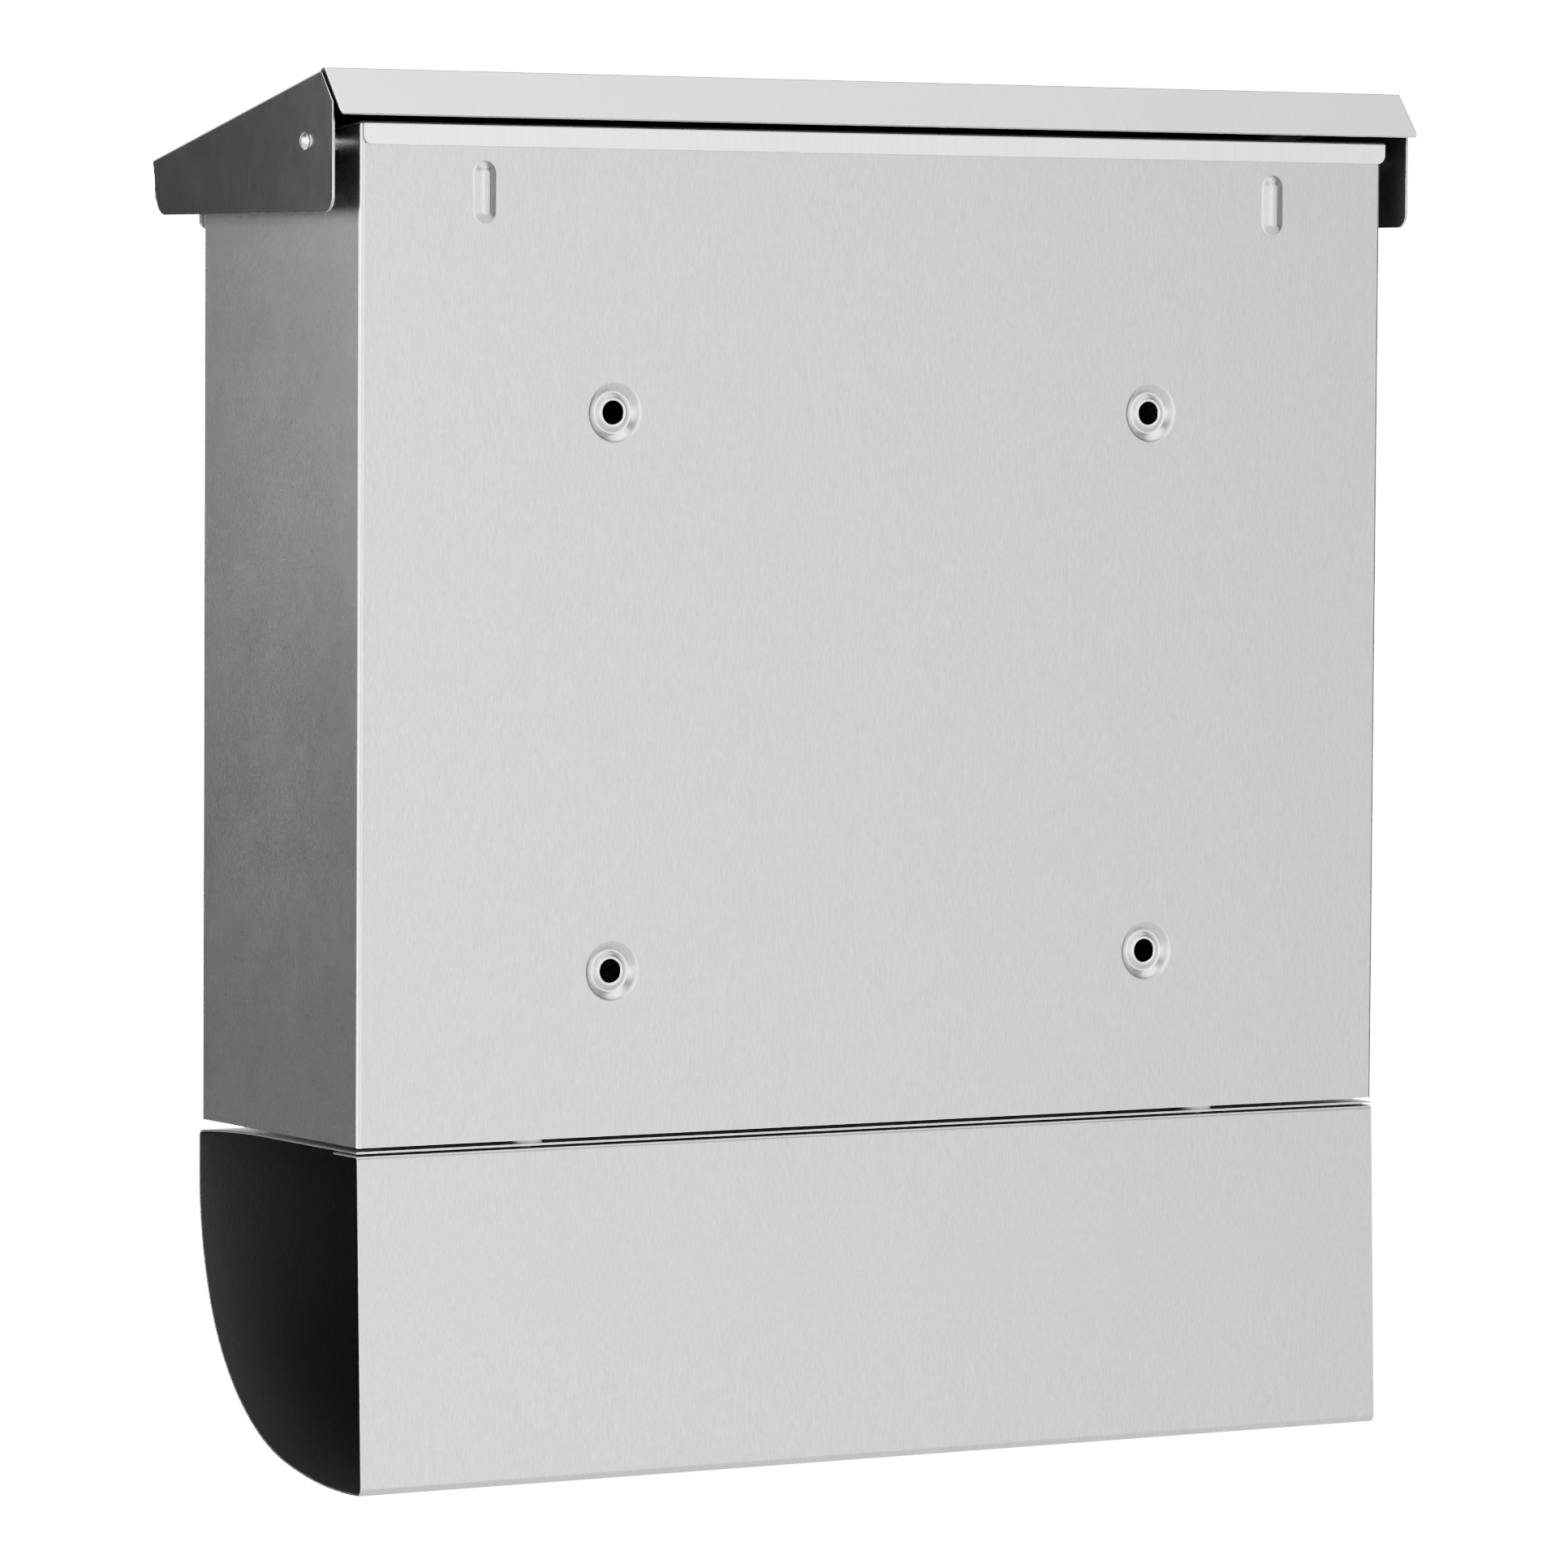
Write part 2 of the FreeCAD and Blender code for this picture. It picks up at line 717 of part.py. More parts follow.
def tube_screws():
    """Pan head screws through the floor pan, one at each corner of the tube's top."""
    screws = []
    for x, y in tube_screw_places():
        shank = rod(screw_radius, at(x, y, -screw_length), Z, screw_length + steel)
        head = rod(3.9, at(x, y, steel), Z, 2.4)
        head = head.makeFillet(1.2, [head.Edges[0]])
        recess = [block(x - 2.2, y - 0.45, steel + 1.2, x + 2.2, y + 0.45, steel + 3)]
        recess.append(block(x - 0.45, y - 2.2, steel + 1.2, x + 0.45, y + 2.2, steel + 3))
        screws.append(fused([shank, head]).cut(fused(recess)))
    return Part.makeCompound(screws)


def tube_washers():
    """Plastic washers that fill the gap between the floor pan and the tube."""
    washers = []
    for x, y in tube_screw_places():
        washers.append(ring(4.5, screw_radius + 0.1, at(x, y, tube_top_z), Z, -tube_top_z))
    return Part.makeCompound(washers)


def tube_nuts():
    nuts = []
    for x, y in tube_screw_places():
        seat = tube_flange_z - tube_steel if y > -tube_flange_length else tube_top_z - tube_steel
        nut = hexagon(7.0, at(x, y, seat - nut_height), Z, nut_height)
        nuts.append(nut.cut(rod(screw_radius + 0.02, at(x, y, seat - 4), Z, 6)))
    return Part.makeCompound(nuts)


def door_panel():
    """Door folded as a shallow pan, with sight slots, a lock hole and hinge holes in its flanges."""
    def pan(inset, back, radius):
        body = block(
            -door_half + inset, front_y + inset, door_bottom + inset,
            door_half - inset, back, door_top - inset,
        )
        near = front_y + inset
        edges = [edge for edge in body.Edges if abs(edge.CenterOfMass.y - near) < 0.01]
        return body.makeFillet(radius, edges)
    door = pan(0, front_y + door_depth, 1.2).cut(pan(steel, front_y + door_depth + 1, 0.4))
    for step in (-1, 0, 1):
        slot = obround(0, window_z + step * slot_pitch, slot_length, slot_height, front_y - 1, front_y + 2)
        door = door.cut(slot)
    door = door.cut(rod(barrel_radius + 0.1, at(lock_x, front_y - 1, lock_z), Y, 4))
    door = door.cut(rod(hinge_pin_radius + hinge_clearance, at(hinge_x, hinge_y, door_bottom - 1), Z, 4))
    door = door.cut(rod(hinge_pin_radius + hinge_clearance, at(hinge_x, hinge_y, door_top - 3), Z, 4))
    for x, z in pane_rivet_places():
        door = door.cut(rod(pane_rivet_radius + 0.02, at(x, front_y - 1, z), Y, 3))
    return door


def pane_rivet_places():
    return [(sx * pane_rivet_x, window_z + sz * pane_rivet_z) for sx in (-1, 1) for sz in (-1, 1)]


def sight_pane():
    """Clear pane behind the sight slots."""
    back = front_y + steel
    corners = [
        at(-pane_half_width, back, window_z - pane_half_height),
        at(pane_half_width, back, window_z - pane_half_height),
        at(pane_half_width, back, window_z + pane_half_height),
        at(-pane_half_width, back, window_z + pane_half_height),
    ]
    pane = outline_plate(corners, [3] * 4, at(0, pane_thickness, 0))
    for x, z in pane_rivet_places():
        pane = pane.cut(rod(pane_rivet_radius + 0.1, at(x, back - 1, z), Y, 4))
    return pane


def pane_rivets():
    rivets = []
    for x, z in pane_rivet_places():
        head = dome(2.6, 0.9, at(x, front_y, z), Y * -1)
        shank = rod(pane_rivet_radius, at(x, front_y, z), Y, steel + pane_thickness)
        tail = rod(2.6, at(x, front_y + steel + pane_thickness, z), Y, 0.9)
        rivets.append(fused([head, shank, tail]))
    return Part.makeCompound(rivets)


def plate_corners(half_length, half_height, y):
    return [
        at(-half_length, y, plate_z - half_height),
        at(half_length, y, plate_z - half_height),
        at(half_length, y, plate_z + half_height),
        at(-half_length, y, plate_z + half_height),
    ]


def name_frame():
    """Frame that holds a blank name card under a clear cover."""
    front = front_y - plate_thickness
    outer = plate_corners(plate_half_width, plate_half_height, front)
    pocket = plate_corners(plate_half_width - 4, plate_half_height - 4, front + 0.8)
    window = plate_corners(plate_half_width - 6, plate_half_height - 6, front - 1)
    frame = outline_plate(outer, [3] * 4, at(0, plate_thickness, 0))
    rim = [edge for edge in frame.Edges if abs(edge.CenterOfMass.y - front) < 0.01]
    frame = frame.makeChamfer(0.6, rim)
    frame = frame.cut(outline_plate(pocket, [1] * 4, at(0, 3, 0)))
    return frame.cut(outline_plate(window, [1.5] * 4, at(0, 3, 0)))


def name_cover():
    corners = plate_corners(plate_half_width - 4.1, plate_half_height - 4.1, front_y - 1.7)
    return outline_plate(corners, [1] * 4, at(0, 1.3, 0))


def name_card():
    corners = plate_corners(plate_half_width - 4.2, plate_half_height - 4.2, front_y - 0.4)
    return outline_plate(corners, [1] * 4, at(0, 0.4, 0))


def lock_housing():
    """Lock body with a round collar in front of the door."""
    collar = rod(10.0, at(lock_x, front_y - 1.9, lock_z), Y, 1.9)
    rim = [edge for edge in collar.Edges if abs(edge.CenterOfMass.y - front_y + 1.9) < 0.01]
    collar = collar.makeFillet(0.8, rim)
    barrel = rod(barrel_radius, at(lock_x, front_y, lock_z), Y, 18.0)
    bore = rod(plug_radius + 0.05, at(lock_x, front_y - 3, lock_z), Y, 24)
    return fused([collar, barrel]).cut(bore)


def lock_nut():
    seat = front_y + steel
    nut = hexagon(22.0, at(lock_x, seat, lock_z), Y, 3.5)
    return nut.cut(rod(barrel_radius + 0.02, at(lock_x, seat - 1, lock_z), Y, 6))


def lock_plug():
    """Round plug with a key slot at the front and a square tail for the cam."""
    front = front_y - 2.1
    shoulder = cam_front_y - 0.2
    plug = rod(plug_radius, at(lock_x, front, lock_z), Y, shoulder - front)
    tail = block(lock_x - 3, shoulder, lock_z - 3, lock_x + 3, cam_front_y + cam_thickness - 0.1, lock_z + 3)
    plug = plug.fuse(tail)
    plug = plug.cut(block(lock_x - 0.6, front - 1, lock_z - 3.6, lock_x + 0.6, front + 9, lock_z + 3.6))
    plug = plug.cut(rod(1.3, at(lock_x, front - 1, lock_z), Y, 10))
    return plug.cut(rod(2.02, at(lock_x, cam_front_y - 8, lock_z), Y, 14)).removeSplitter()


def lock_cam():
    """Flat cam; it points up when the door is free to open."""
    hub = rod(8.0, at(lock_x, cam_front_y, lock_z), Y, cam_thickness)
    back = cam_front_y + cam_thickness
    arm = block(
        lock_x - cam_half_width, cam_front_y, lock_z,
        lock_x + cam_half_width, back, lock_z + cam_reach,
    )
    tip = rod(cam_half_width, at(lock_x, cam_front_y, lock_z + cam_reach), Y, cam_thickness)
    square = block(lock_x - 3.05, cam_front_y - 1, lock_z - 3.05, lock_x + 3.05, back + 1, lock_z + 3.05)
    return fused([hub, arm, tip]).cut(square)


def cam_screw():
    seat = cam_front_y + cam_thickness
    head = rod(4.5, at(lock_x, seat, lock_z), Y, 2.2)
    rim = [edge for edge in head.Edges if abs(edge.CenterOfMass.y - seat - 2.2) < 0.01]
    head = head.makeFillet(0.8, rim)
    shank = rod(2.0, at(lock_x, seat - 9, lock_z), Y, 9)
    slot = block(lock_x - 5, seat + 1.3, lock_z - 0.5, lock_x + 5, seat + 3, lock_z + 0.5)
    return fused([head, shank]).cut(slot)


os.makedirs("parts", exist_ok=True)

save("body_shell", body_shell())
save("bottom_panel", bottom_panel())
save("door_lintel", door_lintel())
save("top_frame", top_frame())
save("frame_rivets", frame_rivets())
save("mail_guard", mail_guard())
save("lid_buffers", lid_buffers())
save("hinge_pin_lower", hinge_pin(sill_height, Z))
save("hinge_pin_upper", hinge_pin(lintel_bottom, Z * -1))
save("hinge_washer", hinge_washer())
save("lock_strike", lock_strike())
save("door_stops", door_stops())
save("pivot_pin_left", pivot_pin(-1))
save("pivot_pin_right", pivot_pin(1))
save("pivot_spacer_left", pivot_spacer(-1))
save("pivot_spacer_right", pivot_spacer(1))
save("newspaper_tube", newspaper_tube())
save("tube_screws", tube_screws())
save("tube_washers", tube_washers())
save("tube_nuts", tube_nuts())
save("lid_cover", lid_cover())
save("door_panel", door_panel())
save("sight_pane", sight_pane())
save("pane_rivets", pane_rivets())
save("name_frame", name_frame())
save("name_cover", name_cover())
save("name_card", name_card())
save("lock_housing", lock_housing())
save("lock_nut", lock_nut())
save("lock_plug", lock_plug())
save("lock_cam", lock_cam())
save("cam_screw", cam_screw())
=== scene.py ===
import bpy
import json
import math
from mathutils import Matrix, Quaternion, Vector


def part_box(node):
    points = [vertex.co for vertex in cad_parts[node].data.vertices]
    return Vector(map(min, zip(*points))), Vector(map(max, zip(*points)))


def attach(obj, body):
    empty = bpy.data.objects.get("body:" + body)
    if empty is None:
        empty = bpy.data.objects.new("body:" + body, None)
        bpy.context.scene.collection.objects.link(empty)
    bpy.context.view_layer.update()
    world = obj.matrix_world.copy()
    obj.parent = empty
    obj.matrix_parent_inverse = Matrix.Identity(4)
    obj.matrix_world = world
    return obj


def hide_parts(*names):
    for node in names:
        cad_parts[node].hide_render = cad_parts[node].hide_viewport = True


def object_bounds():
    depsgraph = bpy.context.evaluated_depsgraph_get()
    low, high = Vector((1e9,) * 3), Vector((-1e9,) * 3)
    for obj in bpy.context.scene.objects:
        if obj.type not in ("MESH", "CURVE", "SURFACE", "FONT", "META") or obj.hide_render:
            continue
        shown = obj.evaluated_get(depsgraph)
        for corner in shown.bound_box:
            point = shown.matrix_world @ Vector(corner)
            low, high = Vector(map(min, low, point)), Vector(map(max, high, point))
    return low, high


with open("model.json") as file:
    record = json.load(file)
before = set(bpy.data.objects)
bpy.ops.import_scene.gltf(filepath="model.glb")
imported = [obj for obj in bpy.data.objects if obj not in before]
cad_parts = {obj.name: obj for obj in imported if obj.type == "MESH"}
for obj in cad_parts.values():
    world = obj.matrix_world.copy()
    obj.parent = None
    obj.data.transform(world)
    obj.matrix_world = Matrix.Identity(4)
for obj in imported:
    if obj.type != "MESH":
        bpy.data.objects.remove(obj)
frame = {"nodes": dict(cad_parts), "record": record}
cad_low, cad_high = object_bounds()
nodes = frame["nodes"]

# Sizes in millimetres, from the lower edge of the body and from its back sheet
SHEET = 0.8
BEND = 1.4
BOSS_RISE = 1.6
BODY_HALF = 181.5
BODY_DEPTH = 102.5
RETURN_WIDTH = 12.0
FRAME_SLOPE = 0.105
SLOPE_SPARE = 1.0
LEDGE_ENDS = (-90.0, -26.0)
LEDGE_ABOVE = 200.0
BOSS_FROM_SIDE = 41.3
LID_HALF = 191.25
LID_BEND = 1.2
LID_SLOPE = math.radians(12.55)
RIDGE = (-4.45, 317.76)
REAR_EDGE = (6.63, 304.14)
LID_FRONT = -118.8
LID_FLANGE_BOTTOM = 278.5
CHEEK_BOTTOM = 275.4
CHEEK_REAR = 0.85
CHEEK_SLIT = 1.6
CHEEK_BLANK = 80.0
CHEEK_BAND = (270, 300)
CHEEK_REACH = 5
FLANGE_CLEAR = 5
CHEEK_TAIL = 20.0
CHEEK_CORNER = 4.6
LID_CORNER = 3.0

# How near in millimetres a point has to be to count as on a line, a bend or a ring
ON_LINE = 0.01
ON_RING = 1e-3
ON_BACK = 1e-4
PAST_END = 0.05

shell_low, shell_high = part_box("body_shell")
corner = Vector((0, shell_high.y - BOSS_RISE / 1000, shell_low.z))
holes = frame["record"]["mounts"][0]["dims"]
hole_x = holes["spacing_x_mm"] / 2
hole_z = -shell_low.z * 1000
boss_x = (shell_high.x * 1000) - BOSS_FROM_SIDE


def spot(x, y, z):
    """Place in metres of a point given in millimetres from the body's lower rear edge."""
    return Vector((x, y, z)) / 1000 + corner


# ---------------------------------------------------------------- modelling helpers


def mode(name):
    bpy.ops.object.mode_set(mode=name)


def choose(item, kind, wanted):
    """Select the vertices, edges or polygons that pass a test of their middle, given in millimetres."""
    mode("OBJECT")
    mesh = item.data
    bpy.context.tool_settings.mesh_select_mode = (kind == "vertices", kind == "edges", kind == "polygons")
    for group in (mesh.vertices, mesh.edges, mesh.polygons):
        for part in group:
            part.select = False
    for part in getattr(mesh, kind):
        if kind == "vertices":
            middle = part.co
        elif kind == "edges":
            middle = (mesh.vertices[part.vertices[0]].co + mesh.vertices[part.vertices[1]].co) / 2
        else:
            middle = part.center
        part.select = bool(wanted((middle - corner) * 1000))
    mode("EDIT")


def everything():
    bpy.ops.mesh.select_all(action="SELECT")


def start_sheet(name, first, second, rise=None):
    """A plane cut down to one edge, or to the two upright edges of a panel if it has a rise."""
    if bpy.context.object and bpy.context.object.mode != "OBJECT":
        mode("OBJECT")
    bpy.ops.object.select_all(action="DESELECT")
    bpy.ops.mesh.primitive_plane_add(size=1)
    item = bpy.context.object
    item.name = name
    item.data.name = name
    if rise is None:
        choose(item, "vertices", lambda middle: middle.y > 0)
        bpy.ops.mesh.delete(type="VERT")
        ends = [first, second]
    else:
        mode("EDIT")
        everything()
        bpy.ops.mesh.delete(type="ONLY_FACE")
        ends = [first, second, first + rise, second + rise]
    mode("OBJECT")
    for vertex, place in zip(item.data.vertices, ends):
        vertex.co = place
    mode("EDIT")
    everything()
    return item


def extrude(step):
    bpy.ops.mesh.extrude_region_move(TRANSFORM_OT_translate={"value": step})


def extrude_along(places):
    """Draw the selected edge on through a list of places."""
    for before, after in zip(places, places[1:]):
        extrude(after - before)


def rounded(points, radius, steps=8):
    """Points of a path in metres with each inner corner turned into an arc."""
    line = [points[0]]
    for before, middle, after in zip(points, points[1:], points[2:]):
        back = (before - middle).normalized()
        ahead = (after - middle).normalized()
        half = back.angle(ahead) / 2
        size = radius / 1000
        start = middle + back * (size / math.tan(half))
        centre = middle + (back + ahead).normalized() * (size / math.sin(half))
        spoke = start - centre
        axis = back.cross(ahead).normalized()
        turn = -(math.pi - 2 * half)
        for step in range(steps + 1):
            line.append(centre + Quaternion(axis, turn * step / steps) @ spoke)
    line.append(points[-1])
    return line


def face_out(item, place, direction):
    """Turn all faces so that the one nearest to a place looks the given way."""
    mode("OBJECT")
    nearest = min(item.data.polygons, key=lambda face: (face.center - place).length)
    wrong = nearest.normal.dot(direction) < 0
    mode("EDIT")
    everything()
    if wrong:
        bpy.ops.mesh.flip_normals()
    mode("OBJECT")


def apply_modifier(item, kind, **settings):
    modifier = item.modifiers.new(kind.lower(), kind)
    for key, value in settings.items():
        setattr(modifier, key, value)
    bpy.context.view_layer.objects.active = item
    bpy.ops.object.modifier_apply(modifier=modifier.name)


def thicken(item, thickness, outside, inside):
    """Give a sheet its thickness inwards; the inner side takes its own material."""
    item.data.materials.append(outside)
    item.data.materials.append(inside)
    apply_modifier(
        item, "SOLIDIFY", thickness=thickness / 1000, offset=-1.0, use_even_offset=True,
        material_offset=1, material_offset_rim=0,
    )


def ease_edges(item, width=0.12):
    """Take the sharpness off the cut edges, and smooth the bends."""
    apply_modifier(
        item, "BEVEL", width=width / 1000, segments=2, limit_method="ANGLE",
        angle_limit=math.radians(55), use_clamp_overlap=True,
    )
    bpy.ops.object.select_all(action="DESELECT")
    item.select_set(True)
    bpy.ops.object.shade_smooth_by_angle(angle=math.radians(40))
    apply_modifier(item, "WEIGHTED_NORMAL", keep_sharp=True, weight=100)


def finish_piece(item, body, slot, *replaced):
    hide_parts(*replaced)
    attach(item, body)


# ---------------------------------------------------------------- shader helpers


def new_group(name, inputs, outputs):
    """Empty shader group: inputs are (name, default) numbers, outputs are (name, kind)."""
    group = bpy.data.node_groups.new(name, "ShaderNodeTree")
    for label, default in inputs:
        socket = group.interface.new_socket(label, in_out="INPUT", socket_type="NodeSocketFloat")
        socket.default_value = default
    for label, kind in outputs:
        group.interface.new_socket(label, in_out="OUTPUT", socket_type=kind)
    return group, group.nodes.new("NodeGroupInput"), group.nodes.new("NodeGroupOutput")


def add(tree, kind, **settings):
    node = tree.nodes.new(kind)
    for key, value in settings.items():
        setattr(node, key, value)
    return node


def join(tree, source, target):
    tree.links.new(source, target)


def feed(tree, value, socket):
    if isinstance(value, (int, float, tuple)):
        socket.default_value = value
    else:
        join(tree, value, socket)


def maths(tree, operation, first, second=0.0, clamp=False):
    node = add(tree, "ShaderNodeMath", operation=operation, use_clamp=clamp)
    feed(tree, first, node.inputs[0])
    feed(tree, second, node.inputs[1])
    return node.outputs[0]


def ranged(tree, value, low, high, start=0.3, end=0.7):
    """Stretch a mask between two values."""
    node = add(tree, "ShaderNodeMapRange")
    node.inputs["From Min"].default_value = start
    node.inputs["From Max"].default_value = end
    node.inputs["To Min"].default_value = low
    node.inputs["To Max"].default_value = high
    join(tree, value, node.inputs["Value"])
    return node.outputs[0]


def noise(tree, vector, scale, detail=3.0, roughness=0.5):
    node = add(tree, "ShaderNodeTexNoise")
    node.inputs["Scale"].default_value = scale
    node.inputs["Detail"].default_value = detail
    node.inputs["Roughness"].default_value = roughness
    join(tree, vector, node.inputs["Vector"])
    return node.outputs["Fac"]


def mix_colour(tree, factor, first, second):
    node = add(tree, "ShaderNodeMix", data_type="RGBA")
    feed(tree, factor, node.inputs[0])
    feed(tree, first, node.inputs[6])
    feed(tree, second, node.inputs[7])
    return node.outputs[2]


# ---------------------------------------------------------------- shared effects


def brushed_grain_group():
    """Streaks and single scratches of a belt-ground sheet, running up its upright faces."""
    group, entry, leave = new_group(
        "brushed_grain",
        [("Across", 2100.0), ("Along", 130.0)],
        [("Streak", "NodeSocketFloat"), ("Scratch", "NodeSocketFloat")],
    )
    place = add(group, "ShaderNodeTexCoord")
    split = add(group, "ShaderNodeSeparateXYZ")
    facing = add(group, "ShaderNodeSeparateXYZ")
    join(group, place.outputs["Object"], split.inputs[0])
    join(group, place.outputs["Normal"], facing.inputs[0])
    side = maths(group, "GREATER_THAN", maths(group, "ABSOLUTE", facing.outputs[0]), 0.7)
    front = maths(group, "SUBTRACT", 1.0, side)
    across = entry.outputs["Across"]
    along = entry.outputs["Along"]
    x_scale = maths(
        group, "ADD", maths(group, "MULTIPLY", across, front), maths(group, "MULTIPLY", along, side),
    )
    y_scale = maths(
        group, "ADD", maths(group, "MULTIPLY", along, front), maths(group, "MULTIPLY", across, side),
    )
    spread = add(group, "ShaderNodeCombineXYZ")
    join(group, maths(group, "MULTIPLY", split.outputs[0], x_scale), spread.inputs[0])
    join(group, maths(group, "MULTIPLY", split.outputs[1], y_scale), spread.inputs[1])
    join(group, maths(group, "MULTIPLY", split.outputs[2], along), spread.inputs[2])
    join(group, noise(group, spread.outputs[0], 1.0, 4.0, 0.62), leave.inputs["Streak"])
    lines = noise(group, spread.outputs[0], 0.23, 1.0)
    join(group, ranged(group, lines, 0.0, 1.0, 0.66, 0.74), leave.inputs["Scratch"])
    return group


def edge_wear_and_highlight_group():
    """Mask of the cut edges and bends, broken up by fine noise: rubbed wear, and a painted highlight along
    the bends.
    """
    group, entry, leave = new_group("edge_wear_and_highlight", [("Radius", 0.0005)], [("Edge", "NodeSocketFloat")])
    rounded_edge = add(group, "ShaderNodeBevel", samples=4)
    join(group, entry.outputs["Radius"], rounded_edge.inputs["Radius"])
    surface = add(group, "ShaderNodeNewGeometry")
    turn = add(group, "ShaderNodeVectorMath", operation="DOT_PRODUCT")
    join(group, rounded_edge.outputs[0], turn.inputs[0])
    join(group, surface.outputs["Normal"], turn.inputs[1])
    place = add(group, "ShaderNodeTexCoord")
    broken = ranged(group, noise(group, place.outputs["Object"], 420.0, 2.0), 0.45, 1.0)
    # Bright where the surface turns within the radius: rubbed wear, and a painted highlight along the
    # bends.
    rubbed_and_lit = ranged(group, turn.outputs["Value"], 1.0, 0.0, 0.8, 0.98)
    join(group, maths(group, "MULTIPLY", rubbed_and_lit, broken, clamp=True), leave.inputs["Edge"])
    return group


def weather_film_group():
    """Patches of handling and weather film, as a mask for roughness and tint."""
    group, _, leave = new_group("weather_film", [], [("Film", "NodeSocketFloat")])
    place = add(group, "ShaderNodeTexCoord")
    broad = noise(group, place.outputs["Object"], 6.5, 4.0, 0.6)
    fine = noise(group, place.outputs["Object"], 90.0, 3.0, 0.6)
    both = maths(
        group, "ADD", maths(group, "MULTIPLY", broad, 0.75), maths(group, "MULTIPLY", fine, 0.25),
    )
    join(group, ranged(group, both, 0.0, 1.0, 0.45, 0.68), leave.inputs["Film"])
    return group


GRAIN = brushed_grain_group()
EDGE_WEAR_AND_HIGHLIGHT = edge_wear_and_highlight_group()
FILM = weather_film_group()


def group_node(tree, group, **values):
    node = add(tree, "ShaderNodeGroup", node_tree=group)
    for label, value in values.items():
        node.inputs[label].default_value = value
    return node


def new_material(name):
    material = bpy.data.materials.new(name)
    material.use_nodes = True
    return material, material.node_tree, material.node_tree.nodes["Principled BSDF"]


def grey(level, warmth=0.0):
    return (level * (1 + warmth), level, level * (1 - warmth), 1.0)


def add_bump(tree, shader, height, distance, strength):
    bump = add(tree, "ShaderNodeBump")
    bump.inputs["Strength"].default_value = strength
    bump.inputs["Distance"].default_value = distance
    join(tree, height, bump.inputs["Height"])
    join(tree, bump.outputs[0], shader.inputs["Normal"])


# How far scratches, rubbed edges with their painted highlight and the weather film change a brushed sheet's
# colour and roughness
SCRATCH_TINT = 0.2
SCRATCH_LIFT = 1.35
BRIGHTEST_STEEL = 0.95
EDGE_TINT = 0.9
EDGE_POLISH = 0.1
FILM_TINT = 0.25
FILM_DULLING = 0.05
SCRATCH_DEPTH = 0.12


def lighter(colour, factor, lift=0.0):
    """The colour of a bright edge, rubbed wear and painted highlight: the same colour, brighter."""
    return tuple(min(1.0, value * factor + lift) for value in colour[:3]) + (1.0,)


def brushed_steel(name, tone, roughness, contrast=0.05, across=2500.0, along=420.0, film=0.5):
    """Brushed stainless sheet: grain, faint scratches, a weather film and brighter edges, partly rubbed
    wear and partly painted highlight.
    """
    material, tree, shader = new_material(name)
    grain = group_node(tree, GRAIN, Across=across, Along=along)
    wear_and_highlight = group_node(tree, EDGE_WEAR_AND_HIGHLIGHT)
    patches = group_node(tree, FILM)
    streaked = mix_colour(
        tree, ranged(tree, grain.outputs["Streak"], 0.0, 1.0),
        grey(tone * (1 - contrast)), grey(tone * (1 + contrast), 0.003),
    )
    clouded = mix_colour(
        tree, maths(tree, "MULTIPLY", patches.outputs["Film"], film * FILM_TINT),
        streaked, (tone * 0.93, tone * 0.96, tone * 0.9, 1.0),
    )
    scratched = mix_colour(
        tree, maths(tree, "MULTIPLY", grain.outputs["Scratch"], SCRATCH_TINT),
        clouded, grey(min(BRIGHTEST_STEEL, tone * SCRATCH_LIFT)),
    )
    # Edges and bends turn brighter: rubbed wear, and a painted highlight.
    worn_and_lit = mix_colour(
        tree, maths(tree, "MULTIPLY", wear_and_highlight.outputs["Edge"], EDGE_TINT), scratched, grey(BRIGHTEST_STEEL),
    )
    join(tree, worn_and_lit, shader.inputs["Base Color"])
    rough = ranged(tree, grain.outputs["Streak"], roughness * 1.12, roughness * 0.88)
    rough = maths(tree, "ADD", rough, maths(tree, "MULTIPLY", patches.outputs["Film"], FILM_DULLING * film))
    polish = maths(tree, "MULTIPLY", wear_and_highlight.outputs["Edge"], EDGE_POLISH)
    join(tree, maths(tree, "SUBTRACT", rough, polish, clamp=True), shader.inputs["Roughness"])
    groove = maths(tree, "MULTIPLY", grain.outputs["Scratch"], SCRATCH_DEPTH)
    height = maths(tree, "SUBTRACT", grain.outputs["Streak"], groove)
    add_bump(tree, shader, height, 0.00002, 0.3)
    shader.inputs["Metallic"].default_value = 1.0
    return material


def turned_metal(name, low, high, roughness):
    """Drawn or plated small part: fine pitting, brighter edges (rubbed wear and painted highlight) and a
    slight film.
    """
    material, tree, shader = new_material(name)
    place = add(tree, "ShaderNodeTexCoord")
    fine = noise(tree, place.outputs["Object"], 900.0, 3.0)
    wear_and_highlight = group_node(tree, EDGE_WEAR_AND_HIGHLIGHT, Radius=0.0003)
    patches = group_node(tree, FILM)
    base = mix_colour(tree, ranged(tree, fine, 0.0, 1.0), low, high)
    dulled = mix_colour(tree, maths(tree, "MULTIPLY", patches.outputs["Film"], 0.3), base, low)
    # Edges turn brighter: rubbed wear, and a painted highlight.
    worn_and_lit = mix_colour(tree, maths(tree, "MULTIPLY", wear_and_highlight.outputs["Edge"], 0.6), dulled, lighter(high, 1.25))
    join(tree, worn_and_lit, shader.inputs["Base Color"])
    join(tree, ranged(tree, fine, roughness * 0.85, roughness * 1.2), shader.inputs["Roughness"])
    add_bump(tree, shader, fine, 0.00001, 0.25)
    shader.inputs["Metallic"].default_value = 1.0
    return material


